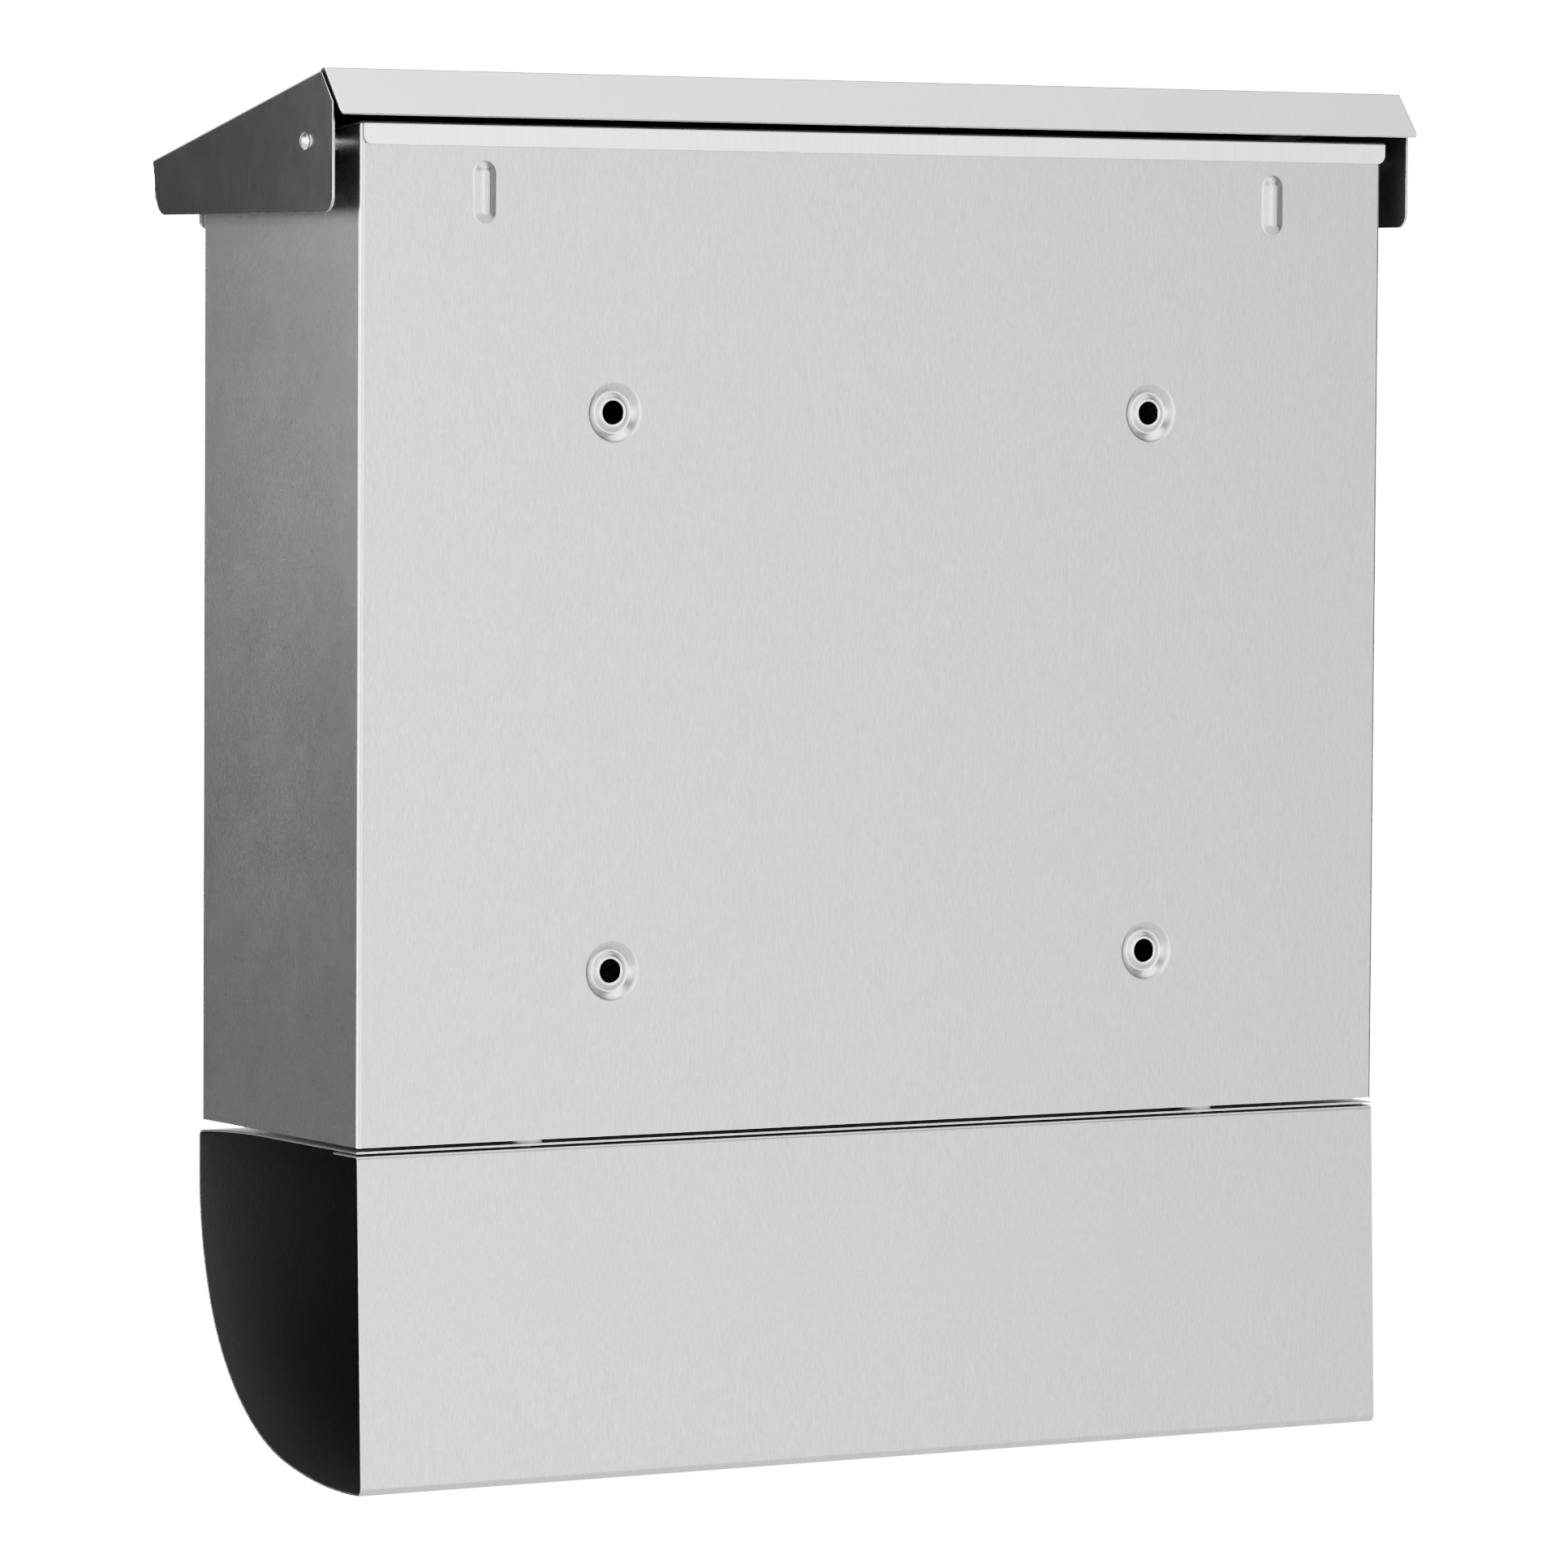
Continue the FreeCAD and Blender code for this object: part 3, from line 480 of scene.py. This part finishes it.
def moulded(name, low, high, roughness, grain=700.0, depth=0.00004):
    """Moulded rubber, plastic or paper: grainy surface with a little wear, and paler edges that are partly
    painted highlight.
    """
    material, tree, shader = new_material(name)
    place = add(tree, "ShaderNodeTexCoord")
    fine = noise(tree, place.outputs["Object"], grain, 4.0, 0.6)
    wear_and_highlight = group_node(tree, EDGE_WEAR_AND_HIGHLIGHT, Radius=0.0004)
    patches = group_node(tree, FILM)
    base = mix_colour(tree, ranged(tree, fine, 0.0, 1.0), low, high)
    aged = mix_colour(tree, maths(tree, "MULTIPLY", patches.outputs["Film"], 0.4), base, low)
    pale = lighter(high, 1.35, 0.02)
    # Edges turn paler: rubbed wear, and a painted highlight.
    worn_and_lit = mix_colour(tree, maths(tree, "MULTIPLY", wear_and_highlight.outputs["Edge"], 0.4), aged, pale)
    join(tree, worn_and_lit, shader.inputs["Base Color"])
    join(tree, ranged(tree, fine, roughness * 0.9, min(1.0, roughness * 1.1)), shader.inputs["Roughness"])
    add_bump(tree, shader, fine, depth, 0.4)
    return material


def clear_acrylic():
    """Thin clear sheet with faint waves; hairline scratches show as denser lines."""
    material, tree, shader = new_material("clear_acrylic")
    place = add(tree, "ShaderNodeTexCoord")
    waves = noise(tree, place.outputs["Object"], 60.0, 2.0)
    grain = group_node(tree, GRAIN, Across=900.0, Along=60.0)
    wavy = ranged(tree, waves, 0.0, 1.0)
    tint = mix_colour(tree, wavy, (0.90, 0.95, 0.94, 1.0), (0.97, 0.99, 0.98, 1.0))
    join(tree, tint, shader.inputs["Base Color"])
    join(tree, ranged(tree, grain.outputs["Scratch"], 0.05, 0.3, 0.0, 1.0), shader.inputs["Roughness"])
    add_bump(tree, shader, waves, 0.00005, 0.2)
    join(tree, ranged(tree, grain.outputs["Scratch"], 0.12, 0.4, 0.0, 1.0), shader.inputs["Alpha"])
    shader.inputs["IOR"].default_value = 1.49
    return material


CASING_STEEL = brushed_steel("brushed_stainless", 0.44, 0.3, contrast=0.19)
# Top strip: real cross-brushed grain, and a tone about twice the body's that paints in the bright
# reflection it catches.
STRIP_STEEL_WITH_HIGHLIGHT = brushed_steel(
    "cross_brushed_painted_highlight_stainless", 0.9, 0.3, contrast=0.1, across=1500.0, along=45.0, film=0.1,
)
LID_STEEL = brushed_steel("satin_stainless", 0.38, 0.2, contrast=0.03, across=2600.0, along=90.0)
# Much brighter copy of the stainless for the rings in the dishes: a painted highlight.
RING_HIGHLIGHT_STEEL = brushed_steel("painted_highlight_stainless", 0.93, 0.3, contrast=0.05)
# Inner side of the body and the parts inside it: a rougher mill finish, and a darker tone that is painted
# shade.
MILL_FINISH_AND_SHADE_INSIDE = brushed_steel("mill_finish_and_painted_shade_inside", 0.30, 0.5, contrast=0.06)
# Near-black inner side of the lid and the tube: painted shade, not a finish of the steel.
PAINTED_SHADE_INSIDE = brushed_steel("painted_shade_inside", 0.045, 0.6, contrast=0.08)
# Dark copy of the bright hardware for the pivot spacers: painted shade.
SHADED_HARDWARE = turned_metal("painted_shade_hardware", grey(0.2), grey(0.3), 0.42)
HARDWARE = turned_metal("bright_hardware", grey(0.55), grey(0.7), 0.26)
CHROME = turned_metal("nickel_plate", grey(0.66), grey(0.78, 0.01), 0.12)
BRASS = turned_metal("plain_brass", (0.52, 0.38, 0.15, 1), (0.72, 0.56, 0.27, 1), 0.3)
RUBBER = moulded("black_rubber", grey(0.012), grey(0.03), 0.8)
NYLON = moulded("natural_nylon", (0.55, 0.53, 0.46, 1), (0.72, 0.7, 0.62, 1), 0.5)
CARD = moulded(
    "blank_card", (0.78, 0.76, 0.7, 1), (0.88, 0.87, 0.82, 1), 0.85, grain=1600.0, depth=0.00002,
)
ACRYLIC = clear_acrylic()

DRESSING = {
    CASING_STEEL: ["body_shell", "door_panel", "newspaper_tube", "bottom_panel", "door_lintel"],
    STRIP_STEEL_WITH_HIGHLIGHT: ["top_frame"],
    LID_STEEL: ["lid_cover"],
    MILL_FINISH_AND_SHADE_INSIDE: ["mail_guard", "lock_strike", "door_stops"],
    HARDWARE: [
        "frame_rivets", "hinge_pin_lower", "hinge_pin_upper", "pivot_pin_left", "pivot_pin_right",
        "tube_screws", "tube_nuts", "pane_rivets", "name_frame", "lock_cam", "cam_screw",
    ],
    # The pivot spacers take the dark copy of the hardware: painted shade.
    SHADED_HARDWARE: ["pivot_spacer_left", "pivot_spacer_right"],
    CHROME: ["lock_housing", "lock_nut"],
    BRASS: ["lock_plug"],
    RUBBER: ["lid_buffers"],
    NYLON: ["hinge_washer", "tube_washers"],
    ACRYLIC: ["sight_pane", "name_cover"],
    CARD: ["name_card"],
}
for material, names in DRESSING.items():
    for name in names:
        nodes[name].data.materials.clear()
        nodes[name].data.materials.append(material)

# ---------------------------------------------------------------- body with its pressed dishes and bosses

# Radius and height of each ring, in millimetres, from the flat sheet inwards
DISH_PROFILE = [
    (9.3, 0.0), (9.0, -0.02), (8.7, -0.1), (8.4, -0.25), (8.1, -0.44), (7.8, -0.66),
    (7.4, -0.98), (7.0, -1.32), (6.7, -1.6), (6.45, -1.84), (6.3, -1.95), (6.15, -2.0),
    (6.0, -1.97), (5.85, -1.88), (5.5, -1.66), (5.1, -1.4), (4.7, -1.18), (4.4, -1.05),
    (4.2, -1.0), (4.0, -1.0), (3.85, -1.04), (3.7, -1.16), (3.6, -1.32), (3.55, -1.5),
]
BOSS_PROFILE = [
    (4.1, 0.0), (3.7, 0.03), (3.4, 0.14), (3.1, 0.34), (2.4, 0.86),
    (1.7, 1.3), (1.25, 1.5), (0.9, 1.57), (0.5, 1.6),
]
# Inner radius, outer radius and lowest height of the rings that get a painted highlight
HIGHLIGHT_RINGS = [(5.86, 6.44, -2.3), (3.72, 4.3, -1.3)]
DISH_SIDES = 64
BOSS_SIDES = 48
BOSS_REACH = 5.5
BOSS_Z = 281.8
BOSS_BOX = (5, 20)


def press_dish(x, z):
    """Rings of the round dish at a wall hole, drawn in from its rim to the hole."""
    centre = spot(x, 0, z)
    radius, depth = DISH_PROFILE[0]
    bpy.ops.mesh.primitive_circle_add(
        vertices=DISH_SIDES, radius=radius / 1000, fill_type="NOTHING",
        location=centre, rotation=(math.pi / 2, 0, 0),
    )
    for next_radius, next_depth in DISH_PROFILE[1:]:
        extrude(Vector((0, (next_depth - depth) / 1000, 0)))
        ratio = next_radius / radius
        bpy.ops.transform.resize(value=(ratio, 1, ratio), center_override=centre)
        radius, depth = next_radius, next_depth


def press_boss(item, x):
    """Rings of the long boss, drawn up to its narrow crest."""
    centre = spot(x, 0, BOSS_Z)
    radius, rise = BOSS_PROFILE[0]
    bpy.ops.mesh.primitive_circle_add(
        vertices=BOSS_SIDES, radius=radius / 1000, fill_type="NOTHING",
        location=centre, rotation=(math.pi / 2, 0, 0),
    )

    def choose_ring(height, side=0):
        """Select the boss's ring at a height, or only its lower (-1) or upper (1) half."""
        choose(item, "vertices", lambda middle: (
            abs(middle.x - x) < BOSS_BOX[0] and abs(middle.z - BOSS_Z) < BOSS_BOX[1]
            and abs(middle.y - height) < ON_RING
            and (side == 0 or (middle.z - BOSS_Z) * side > ON_RING)
        ))

    for side in (-1, 1):
        choose_ring(0.0, side)
        bpy.ops.transform.translate(value=Vector((0, 0, side * BOSS_REACH / 1000)))
    for next_radius, next_rise in BOSS_PROFILE[1:]:
        choose_ring(rise)
        extrude(Vector((0, (next_rise - rise) / 1000, 0)))
        ratio = next_radius / radius
        bpy.ops.transform.resize(value=(ratio, 1, 1), center_override=centre)
        for side in (-1, 1):
            choose_ring(next_rise, side)
            end_centre = spot(x, 0, BOSS_Z + side * BOSS_REACH)
            bpy.ops.transform.resize(value=(1, 1, ratio), center_override=end_centre)
        radius, rise = next_radius, next_rise
    choose_ring(rise)
    bpy.ops.mesh.edge_face_add()


def paint_ring_highlights(item, centres):
    """Painted highlight: brighter metal in the fold at the foot of each dish and on the rim of its hole."""
    item.data.materials.append(RING_HIGHLIGHT_STEEL)
    highlight_slot = len(item.data.materials) - 1
    for face in item.data.polygons:
        place = (face.center - corner) * 1000
        for x, z in centres:
            radius = math.hypot(place.x - x, place.z - z)
            if any(inner < radius < outer and place.y > lowest for inner, outer, lowest in HIGHLIGHT_RINGS):
                face.material_index = highlight_slot


def casing():
    """Body folded from one sheet, with dishes at the wall holes and two bosses for the lid."""
    rear_height = (shell_high.z - shell_low.z) * 1000
    rise = Vector((0, 0, (rear_height + SLOPE_SPARE) / 1000))
    flat = BODY_HALF - BEND
    item = start_sheet("casing", spot(-flat, 0, 0), spot(flat, 0, 0), rise)
    half_pitch = holes["spacing_y_mm"] / 2
    centres = [(sx * hole_x, hole_z + sz * half_pitch) for sx in (-1, 1) for sz in (-1, 1)]
    for x, z in centres:
        press_dish(x, z)
    for sx in (-1, 1):
        press_boss(item, sx * boss_x)

    def on_panel_outline(middle):
        if abs(middle.y) > ON_BACK:
            return False
        if abs(abs(middle.x) - flat) < ON_LINE:
            return True
        dish_radius = DISH_PROFILE[0][0]
        if any(abs(math.hypot(middle.x - x, middle.z - z) - dish_radius) < ON_LINE for x, z in centres):
            return True
        return abs(abs(middle.x) - boss_x) < BOSS_BOX[0] and abs(middle.z - BOSS_Z) < BOSS_BOX[1]

    choose(item, "vertices", on_panel_outline)
    bpy.ops.mesh.fill(use_beauty=True)
    for side in (-1, 1):
        line = [
            spot(0, 0, 0), spot(side * BODY_HALF, 0, 0), spot(side * BODY_HALF, -BODY_DEPTH, 0),
            spot(side * (BODY_HALF - RETURN_WIDTH), -BODY_DEPTH, 0),
        ]
        choose(item, "vertices", lambda middle: abs(middle.x - side * flat) < ON_LINE)
        extrude_along(rounded(line, BEND)[1:])
    everything()
    under = spot(0, 0, rear_height)
    bpy.ops.mesh.bisect(plane_co=under, plane_no=(0, -FRAME_SLOPE, 1), clear_outer=True)
    for y in LEDGE_ENDS:
        everything()
        bpy.ops.mesh.bisect(plane_co=spot(0, y, 0), plane_no=(0, 1, 0))
    for side in (-1, 1):
        choose(item, "edges", lambda middle: (
            abs(middle.x - side * BODY_HALF) < ON_LINE
            and LEDGE_ENDS[0] < middle.y < LEDGE_ENDS[1] and middle.z > LEDGE_ABOVE
        ))
        extrude(Vector((-side * RETURN_WIDTH / 1000, 0, 0)))
    face_out(item, spot(0, 0, 200), Vector((0, 1, 0)))
    thicken(item, SHEET, CASING_STEEL, MILL_FINISH_AND_SHADE_INSIDE)
    ease_edges(item)
    # The rings in the dishes get a painted highlight.
    paint_ring_highlights(item, centres)
    finish_piece(item, "housing", "stainless", "body_shell")


# ---------------------------------------------------------------- lid


def lid():
    """Roof, rear slope and front flange from one sheet, with a cheek folded down on each side."""
    roof_down = Vector((0, math.cos(LID_SLOPE), math.sin(LID_SLOPE)))
    rear_down = (spot(0, *REAR_EDGE) - spot(0, *RIDGE)).normalized()
    front_top = RIDGE[1] + (LID_FRONT - RIDGE[0]) * math.tan(LID_SLOPE)
    between = math.acos(-roof_down.dot(rear_down))
    ridge_inset = (SHEET + CHEEK_SLIT) / math.sin(between)
    flat = LID_HALF - LID_BEND
    line = rounded([
        spot(0, LID_FRONT, LID_FLANGE_BOTTOM), spot(0, LID_FRONT, front_top),
        spot(0, *RIDGE), spot(0, *REAR_EDGE),
    ], LID_BEND)
    across = Vector((flat / 1000, 0, 0))
    item = start_sheet("lid", line[0] - across, line[0] + across)
    extrude_along(line)
    split = spot(0, *RIDGE) - roof_down * (ridge_inset / 1000)
    everything()
    bpy.ops.mesh.bisect(plane_co=split, plane_no=roof_down)
    split_y = (split.y - corner.y) * 1000
    for side in (-1, 1):
        choose(item, "edges", lambda middle: (
            abs(middle.x - side * flat) < ON_LINE and middle.y > split_y + PAST_END
        ))
        extrude(Vector((side * LID_BEND / 1000, 0, 0)))
    down = Vector((0, math.sin(LID_SLOPE), -math.cos(LID_SLOPE)))
    cheek_middle_y = split_y + down.y * CHEEK_BLANK / 2
    for side in (-1, 1):
        choose(item, "edges", lambda middle: (
            abs(middle.x - side * flat) < ON_LINE
            and LID_FRONT + FLANGE_CLEAR < middle.y < split_y - PAST_END
        ))
        fold = Vector((side * LID_HALF / 1000, 0, 0))
        extrude_along(rounded([Vector(), fold, fold + down * (CHEEK_BLANK / 1000)], LID_BEND)[1:])
        choose(item, "edges", lambda middle: (
            abs(middle.x - side * LID_HALF) < ON_LINE
            and abs(middle.y - cheek_middle_y) < CHEEK_REACH and CHEEK_BAND[0] < middle.z < CHEEK_BAND[1]
        ))
        extrude(Vector((0, CHEEK_TAIL / 1000, 0)))
    trim_cheeks(item, split, rear_down)
    round_corners(item)
    face_out(item, spot(0, -60, 305), Vector((0, 0, 1)))
    # The inner side of the lid is painted near-black as shade.
    thicken(item, SHEET, LID_STEEL, PAINTED_SHADE_INSIDE)
    ease_edges(item)
    finish_piece(item, "lid", "stainless", "lid_cover")


def trim_cheeks(item, split, rear_down):
    """Cut the folded cheeks back to their outline: bottom, rear, along the rear slope, and front."""
    cuts = [
        (spot(0, 0, CHEEK_BOTTOM), Vector((0, 0, -1))),
        (spot(0, CHEEK_REAR, 0), Vector((0, 1, 0))),
        (split, Vector((0, -rear_down.z, rear_down.y))),
        (spot(0, LID_FRONT, 0), Vector((0, -1, 0))),
    ]
    for place, outward in cuts:
        choose(item, "polygons", lambda middle: abs(middle.x) > LID_HALF - 2 * ON_LINE)
        bpy.ops.mesh.bisect(plane_co=place, plane_no=outward, clear_outer=True)


def round_corners(item):
    """Round the free corners of the rear slope, the front flange and the cheeks."""

    def on_rear_slope(middle):
        return abs(middle.x) > LID_HALF - ON_LINE and middle.y > REAR_EDGE[0] - PAST_END

    def on_front_flange(middle):
        return (
            abs(abs(middle.x) - LID_HALF + LID_BEND) < ON_LINE
            and middle.z < LID_FLANGE_BOTTOM + PAST_END and middle.y < LID_FRONT + PAST_END
        )

    def on_cheek(middle):
        return abs(middle.x) > LID_HALF - ON_LINE and middle.z < CHEEK_BOTTOM + PAST_END

    corners = [(LID_CORNER, on_rear_slope), (LID_CORNER, on_front_flange), (CHEEK_CORNER, on_cheek)]
    for radius, wanted in corners:
        choose(item, "vertices", wanted)
        bpy.ops.mesh.bevel(affect="VERTICES", offset=radius / 1000, segments=8)


# ---------------------------------------------------------------- newspaper tube

TUBE_SHEET = 0.6
TUBE_LEAN = math.radians(1.82)
TUBE_FRONT = -104.05
TUBE_HEEL_Z = -2.35
TUBE_TOP_Z = -1.2
TUBE_FLANGE = 15.4
TUBE_RADII = (106.7, 72.2, 171.1)
TUBE_TURNS = (math.radians(21.7), math.radians(76.7))
TUBE_FRONT_END = -15.8
TUBE_FOLDS = (2.5, 2.2)
TUBE_FLAT_Y = -60.0
TUBE_FALL = math.radians(5.2)


def arc(centre, radius, start, end, steps):
    """Points of an arc in the section, with angles turned from the rear over the top."""
    points = []
    for step in range(steps + 1):
        angle = start + (end - start) * step / steps
        points.append(centre + Vector((math.cos(angle), math.sin(angle))) * radius)
    return points


def tube_section():
    """Outside line of the tube in Y and Z: flange, leaning back, bottom bend, rolled front, crowned top."""
    heel = Vector((0.0, TUBE_HEEL_Z))
    lean = Vector((math.sin(TUBE_LEAN), -math.cos(TUBE_LEAN)))
    inward = Vector((-math.cos(TUBE_LEAN), -math.sin(TUBE_LEAN)))
    fold, top_fold = TUBE_FOLDS
    upper = Vector((TUBE_FRONT + TUBE_RADII[0], TUBE_FRONT_END))
    ways = [Vector((-math.cos(turn), -math.sin(turn))) for turn in TUBE_TURNS]
    belly = upper + ways[0] * (TUBE_RADII[0] - TUBE_RADII[1])
    lower = belly + ways[1] * (TUBE_RADII[1] - TUBE_RADII[2])
    offset = heel + inward * fold - lower
    dot = offset.dot(lean)
    along = -dot + math.sqrt(dot * dot - offset.dot(offset) + (TUBE_RADII[2] - fold) ** 2)
    fold_centre = heel + lean * along + inward * fold
    out = (fold_centre - lower).normalized()
    low_angle = math.atan2(out.y, out.x)
    turns = [math.pi + turn for turn in TUBE_TURNS]
    line = [spot(0, point[0], point[1]) for point in ((-TUBE_FLANGE, heel.y), heel, heel + lean * 40)]
    places = rounded(line, BEND, 6)[:-1]
    section = arc(fold_centre, fold, math.atan2(-inward.y, -inward.x), low_angle, 8)
    section += arc(lower, TUBE_RADII[2], low_angle, turns[1] - 2 * math.pi, 10)[1:]
    section += arc(belly, TUBE_RADII[1], turns[1], turns[0], 16)[1:]
    section += arc(upper, TUBE_RADII[0], turns[0], math.pi, 8)[1:]
    crown = (TUBE_FLAT_Y - (TUBE_FRONT + top_fold - top_fold * math.sin(TUBE_FALL))) / math.sin(TUBE_FALL)
    crown_centre = Vector((TUBE_FLAT_Y, TUBE_TOP_Z - crown))
    crown_way = Vector((-math.sin(TUBE_FALL), math.cos(TUBE_FALL)))
    fold_top = crown_centre + crown_way * (crown - top_fold)
    section += arc(fold_top, top_fold, math.pi, math.pi / 2 + TUBE_FALL, 8)
    section += arc(crown_centre, crown, math.pi / 2 + TUBE_FALL, math.pi / 2, 6)[1:]
    section.append(Vector((-0.3, TUBE_TOP_Z)))
    return places + [spot(0, point.x, point.y) for point in section]


def newspaper_tube():
    """Open tube rolled from one sheet; its inner side is painted near-black as shade."""
    places = tube_section()
    across = Vector((BODY_HALF / 1000, 0, 0))
    item = start_sheet("rolled_tube", places[0] - across, places[0] + across)
    extrude_along(places)
    face_out(item, spot(0, 1, -50), Vector((0, 1, 0)))
    # The inner side of the tube is painted near-black as shade.
    thicken(item, TUBE_SHEET, CASING_STEEL, PAINTED_SHADE_INSIDE)
    ease_edges(item, 0.1)
    finish_piece(item, "housing", "stainless", "newspaper_tube")


casing()
lid()
newspaper_tube()

# ---------------------------------------------------------------- stage, light and camera


BACKDROP_GLOW = 20.0
FLOOR_DROP = 1.1


def make_floor():
    """Pale floor a little over a metre below the mailbox."""
    mode("OBJECT")
    bpy.ops.object.select_all(action="DESELECT")
    bpy.ops.mesh.primitive_plane_add(size=8, location=(0, 0, cad_low.z - FLOOR_DROP))
    floor = bpy.context.object
    floor.name = "studio_floor"
    material, tree, shader = new_material("pale_floor")
    place = add(tree, "ShaderNodeTexCoord")
    cloud = noise(tree, place.outputs["Object"], 1.5)
    join(tree, mix_colour(tree, cloud, grey(0.7), grey(0.76)), shader.inputs["Base Color"])
    shader.inputs["Roughness"].default_value = 0.9
    glow = add(tree, "ShaderNodeEmission")
    glow.inputs["Strength"].default_value = BACKDROP_GLOW
    path = add(tree, "ShaderNodeLightPath")
    mix = add(tree, "ShaderNodeMixShader")
    out = tree.nodes["Material Output"]
    join(tree, path.outputs["Is Camera Ray"], mix.inputs[0])
    join(tree, shader.outputs[0], mix.inputs[1])
    join(tree, glow.outputs[0], mix.inputs[2])
    join(tree, mix.outputs[0], out.inputs[0])
    floor.data.materials.append(material)


# Soft lights of the studio: direction from the mailbox, angle of the full part in degrees,
# angle at which the light has faded out, and brightness
SOFT_LIGHTS = [
    ((0.06, 0.99, -0.12), 14, 52, 9.8),
    ((0.97, 0.22, 0.0), 12, 36, 20.0),
    ((0.08, 0.84, 0.54), 6, 20, 6.0),
    ((-0.16, 0.2, 0.92), 6, 40, 12.0),
    ((0.15, 0.25, 0.95), 8, 26, 5.0),
    ((-0.2, -0.95, 0.2), 10, 34, 3.0),
    ((0.95, 0.25, 0.3), 8, 30, 1.5),
    ((-0.97, 0.05, 0.25), 6, 30, 1.2),
]
ROOM_LIGHT = 0.06
SIDE_LIGHT_PLACE = (630, -250, 330)
SIDE_LIGHT_AIM = (182, -50, 200)
SIDE_LIGHT_SIZE = 0.3
SIDE_LIGHT_WATTS = 2.8


def make_world():
    """White behind the object, and a dark studio with large soft lights for everything that it mirrors."""
    world = bpy.data.worlds.new("studio")
    world.use_nodes = True
    tree = world.node_tree
    tree.nodes.clear()
    way = add(tree, "ShaderNodeTexCoord")
    total = ROOM_LIGHT
    for direction, full, edge, strength in SOFT_LIGHTS:
        aim = Vector(direction).normalized()
        dot = add(tree, "ShaderNodeVectorMath", operation="DOT_PRODUCT")
        join(tree, way.outputs["Generated"], dot.inputs[0])
        dot.inputs[1].default_value = aim
        angle = maths(tree, "ARCCOSINE", dot.outputs["Value"])
        spread = add(tree, "ShaderNodeMapRange", interpolation_type="SMOOTHSTEP")
        spread.inputs["From Min"].default_value = math.radians(full)
        spread.inputs["From Max"].default_value = math.radians(edge)
        spread.inputs["To Min"].default_value = strength
        spread.inputs["To Max"].default_value = 0.0
        join(tree, angle, spread.inputs["Value"])
        total = maths(tree, "ADD", spread.outputs[0], total)
    room = add(tree, "ShaderNodeBackground")
    join(tree, total, room.inputs["Strength"])
    seen = add(tree, "ShaderNodeBackground")
    seen.inputs["Color"].default_value = (1, 1, 1, 1)
    seen.inputs["Strength"].default_value = BACKDROP_GLOW
    path = add(tree, "ShaderNodeLightPath")
    mix = add(tree, "ShaderNodeMixShader")
    out = add(tree, "ShaderNodeOutputWorld")
    join(tree, path.outputs["Is Camera Ray"], mix.inputs[0])
    join(tree, room.outputs[0], mix.inputs[1])
    join(tree, seen.outputs[0], mix.inputs[2])
    join(tree, mix.outputs[0], out.inputs[0])
    bpy.context.scene.world = world


def side_panel_light():
    """Small soft box out to the left, which lights the side sheet most at its upper rear corner."""
    light = bpy.data.lights.new("side_panel_light", "AREA")
    light.shape = "SQUARE"
    light.size = SIDE_LIGHT_SIZE
    light.energy = SIDE_LIGHT_WATTS
    lamp = bpy.data.objects.new("side_panel_light", light)
    bpy.context.scene.collection.objects.link(lamp)
    lamp.location = spot(*SIDE_LIGHT_PLACE)
    lamp.rotation_euler = (lamp.location - spot(*SIDE_LIGHT_AIM)).to_track_quat("Z", "Y").to_euler()
    lamp.visible_camera = False


AIM_HEIGHT = 103.4
AIM_SHIFT = -0.0310


def make_camera():
    """Long lens, looking at the back and the left side from a little above the middle."""
    azimuth = math.radians(149.318)
    elevation = math.radians(3.089)
    roll = math.radians(0.368)
    distance = 2.5027
    back = Vector((
        math.sin(azimuth) * math.cos(elevation),
        -math.cos(azimuth) * math.cos(elevation),
        math.sin(elevation),
    ))
    right = (-back).cross(Vector((0, 0, 1))).normalized()
    aim = spot(0, 0, AIM_HEIGHT) + right * AIM_SHIFT
    lens = bpy.data.cameras.new("camera")
    lens.lens = 188.18
    lens.sensor_width = 36
    camera = bpy.data.objects.new("camera", lens)
    bpy.context.scene.collection.objects.link(camera)
    camera.location = aim + back * distance
    camera.rotation_mode = "QUATERNION"
    camera.rotation_quaternion = back.to_track_quat("Z", "Y") @ Quaternion((0, 0, 1), roll)
    bpy.context.scene.camera = camera


make_floor()
make_world()
side_panel_light()
make_camera()
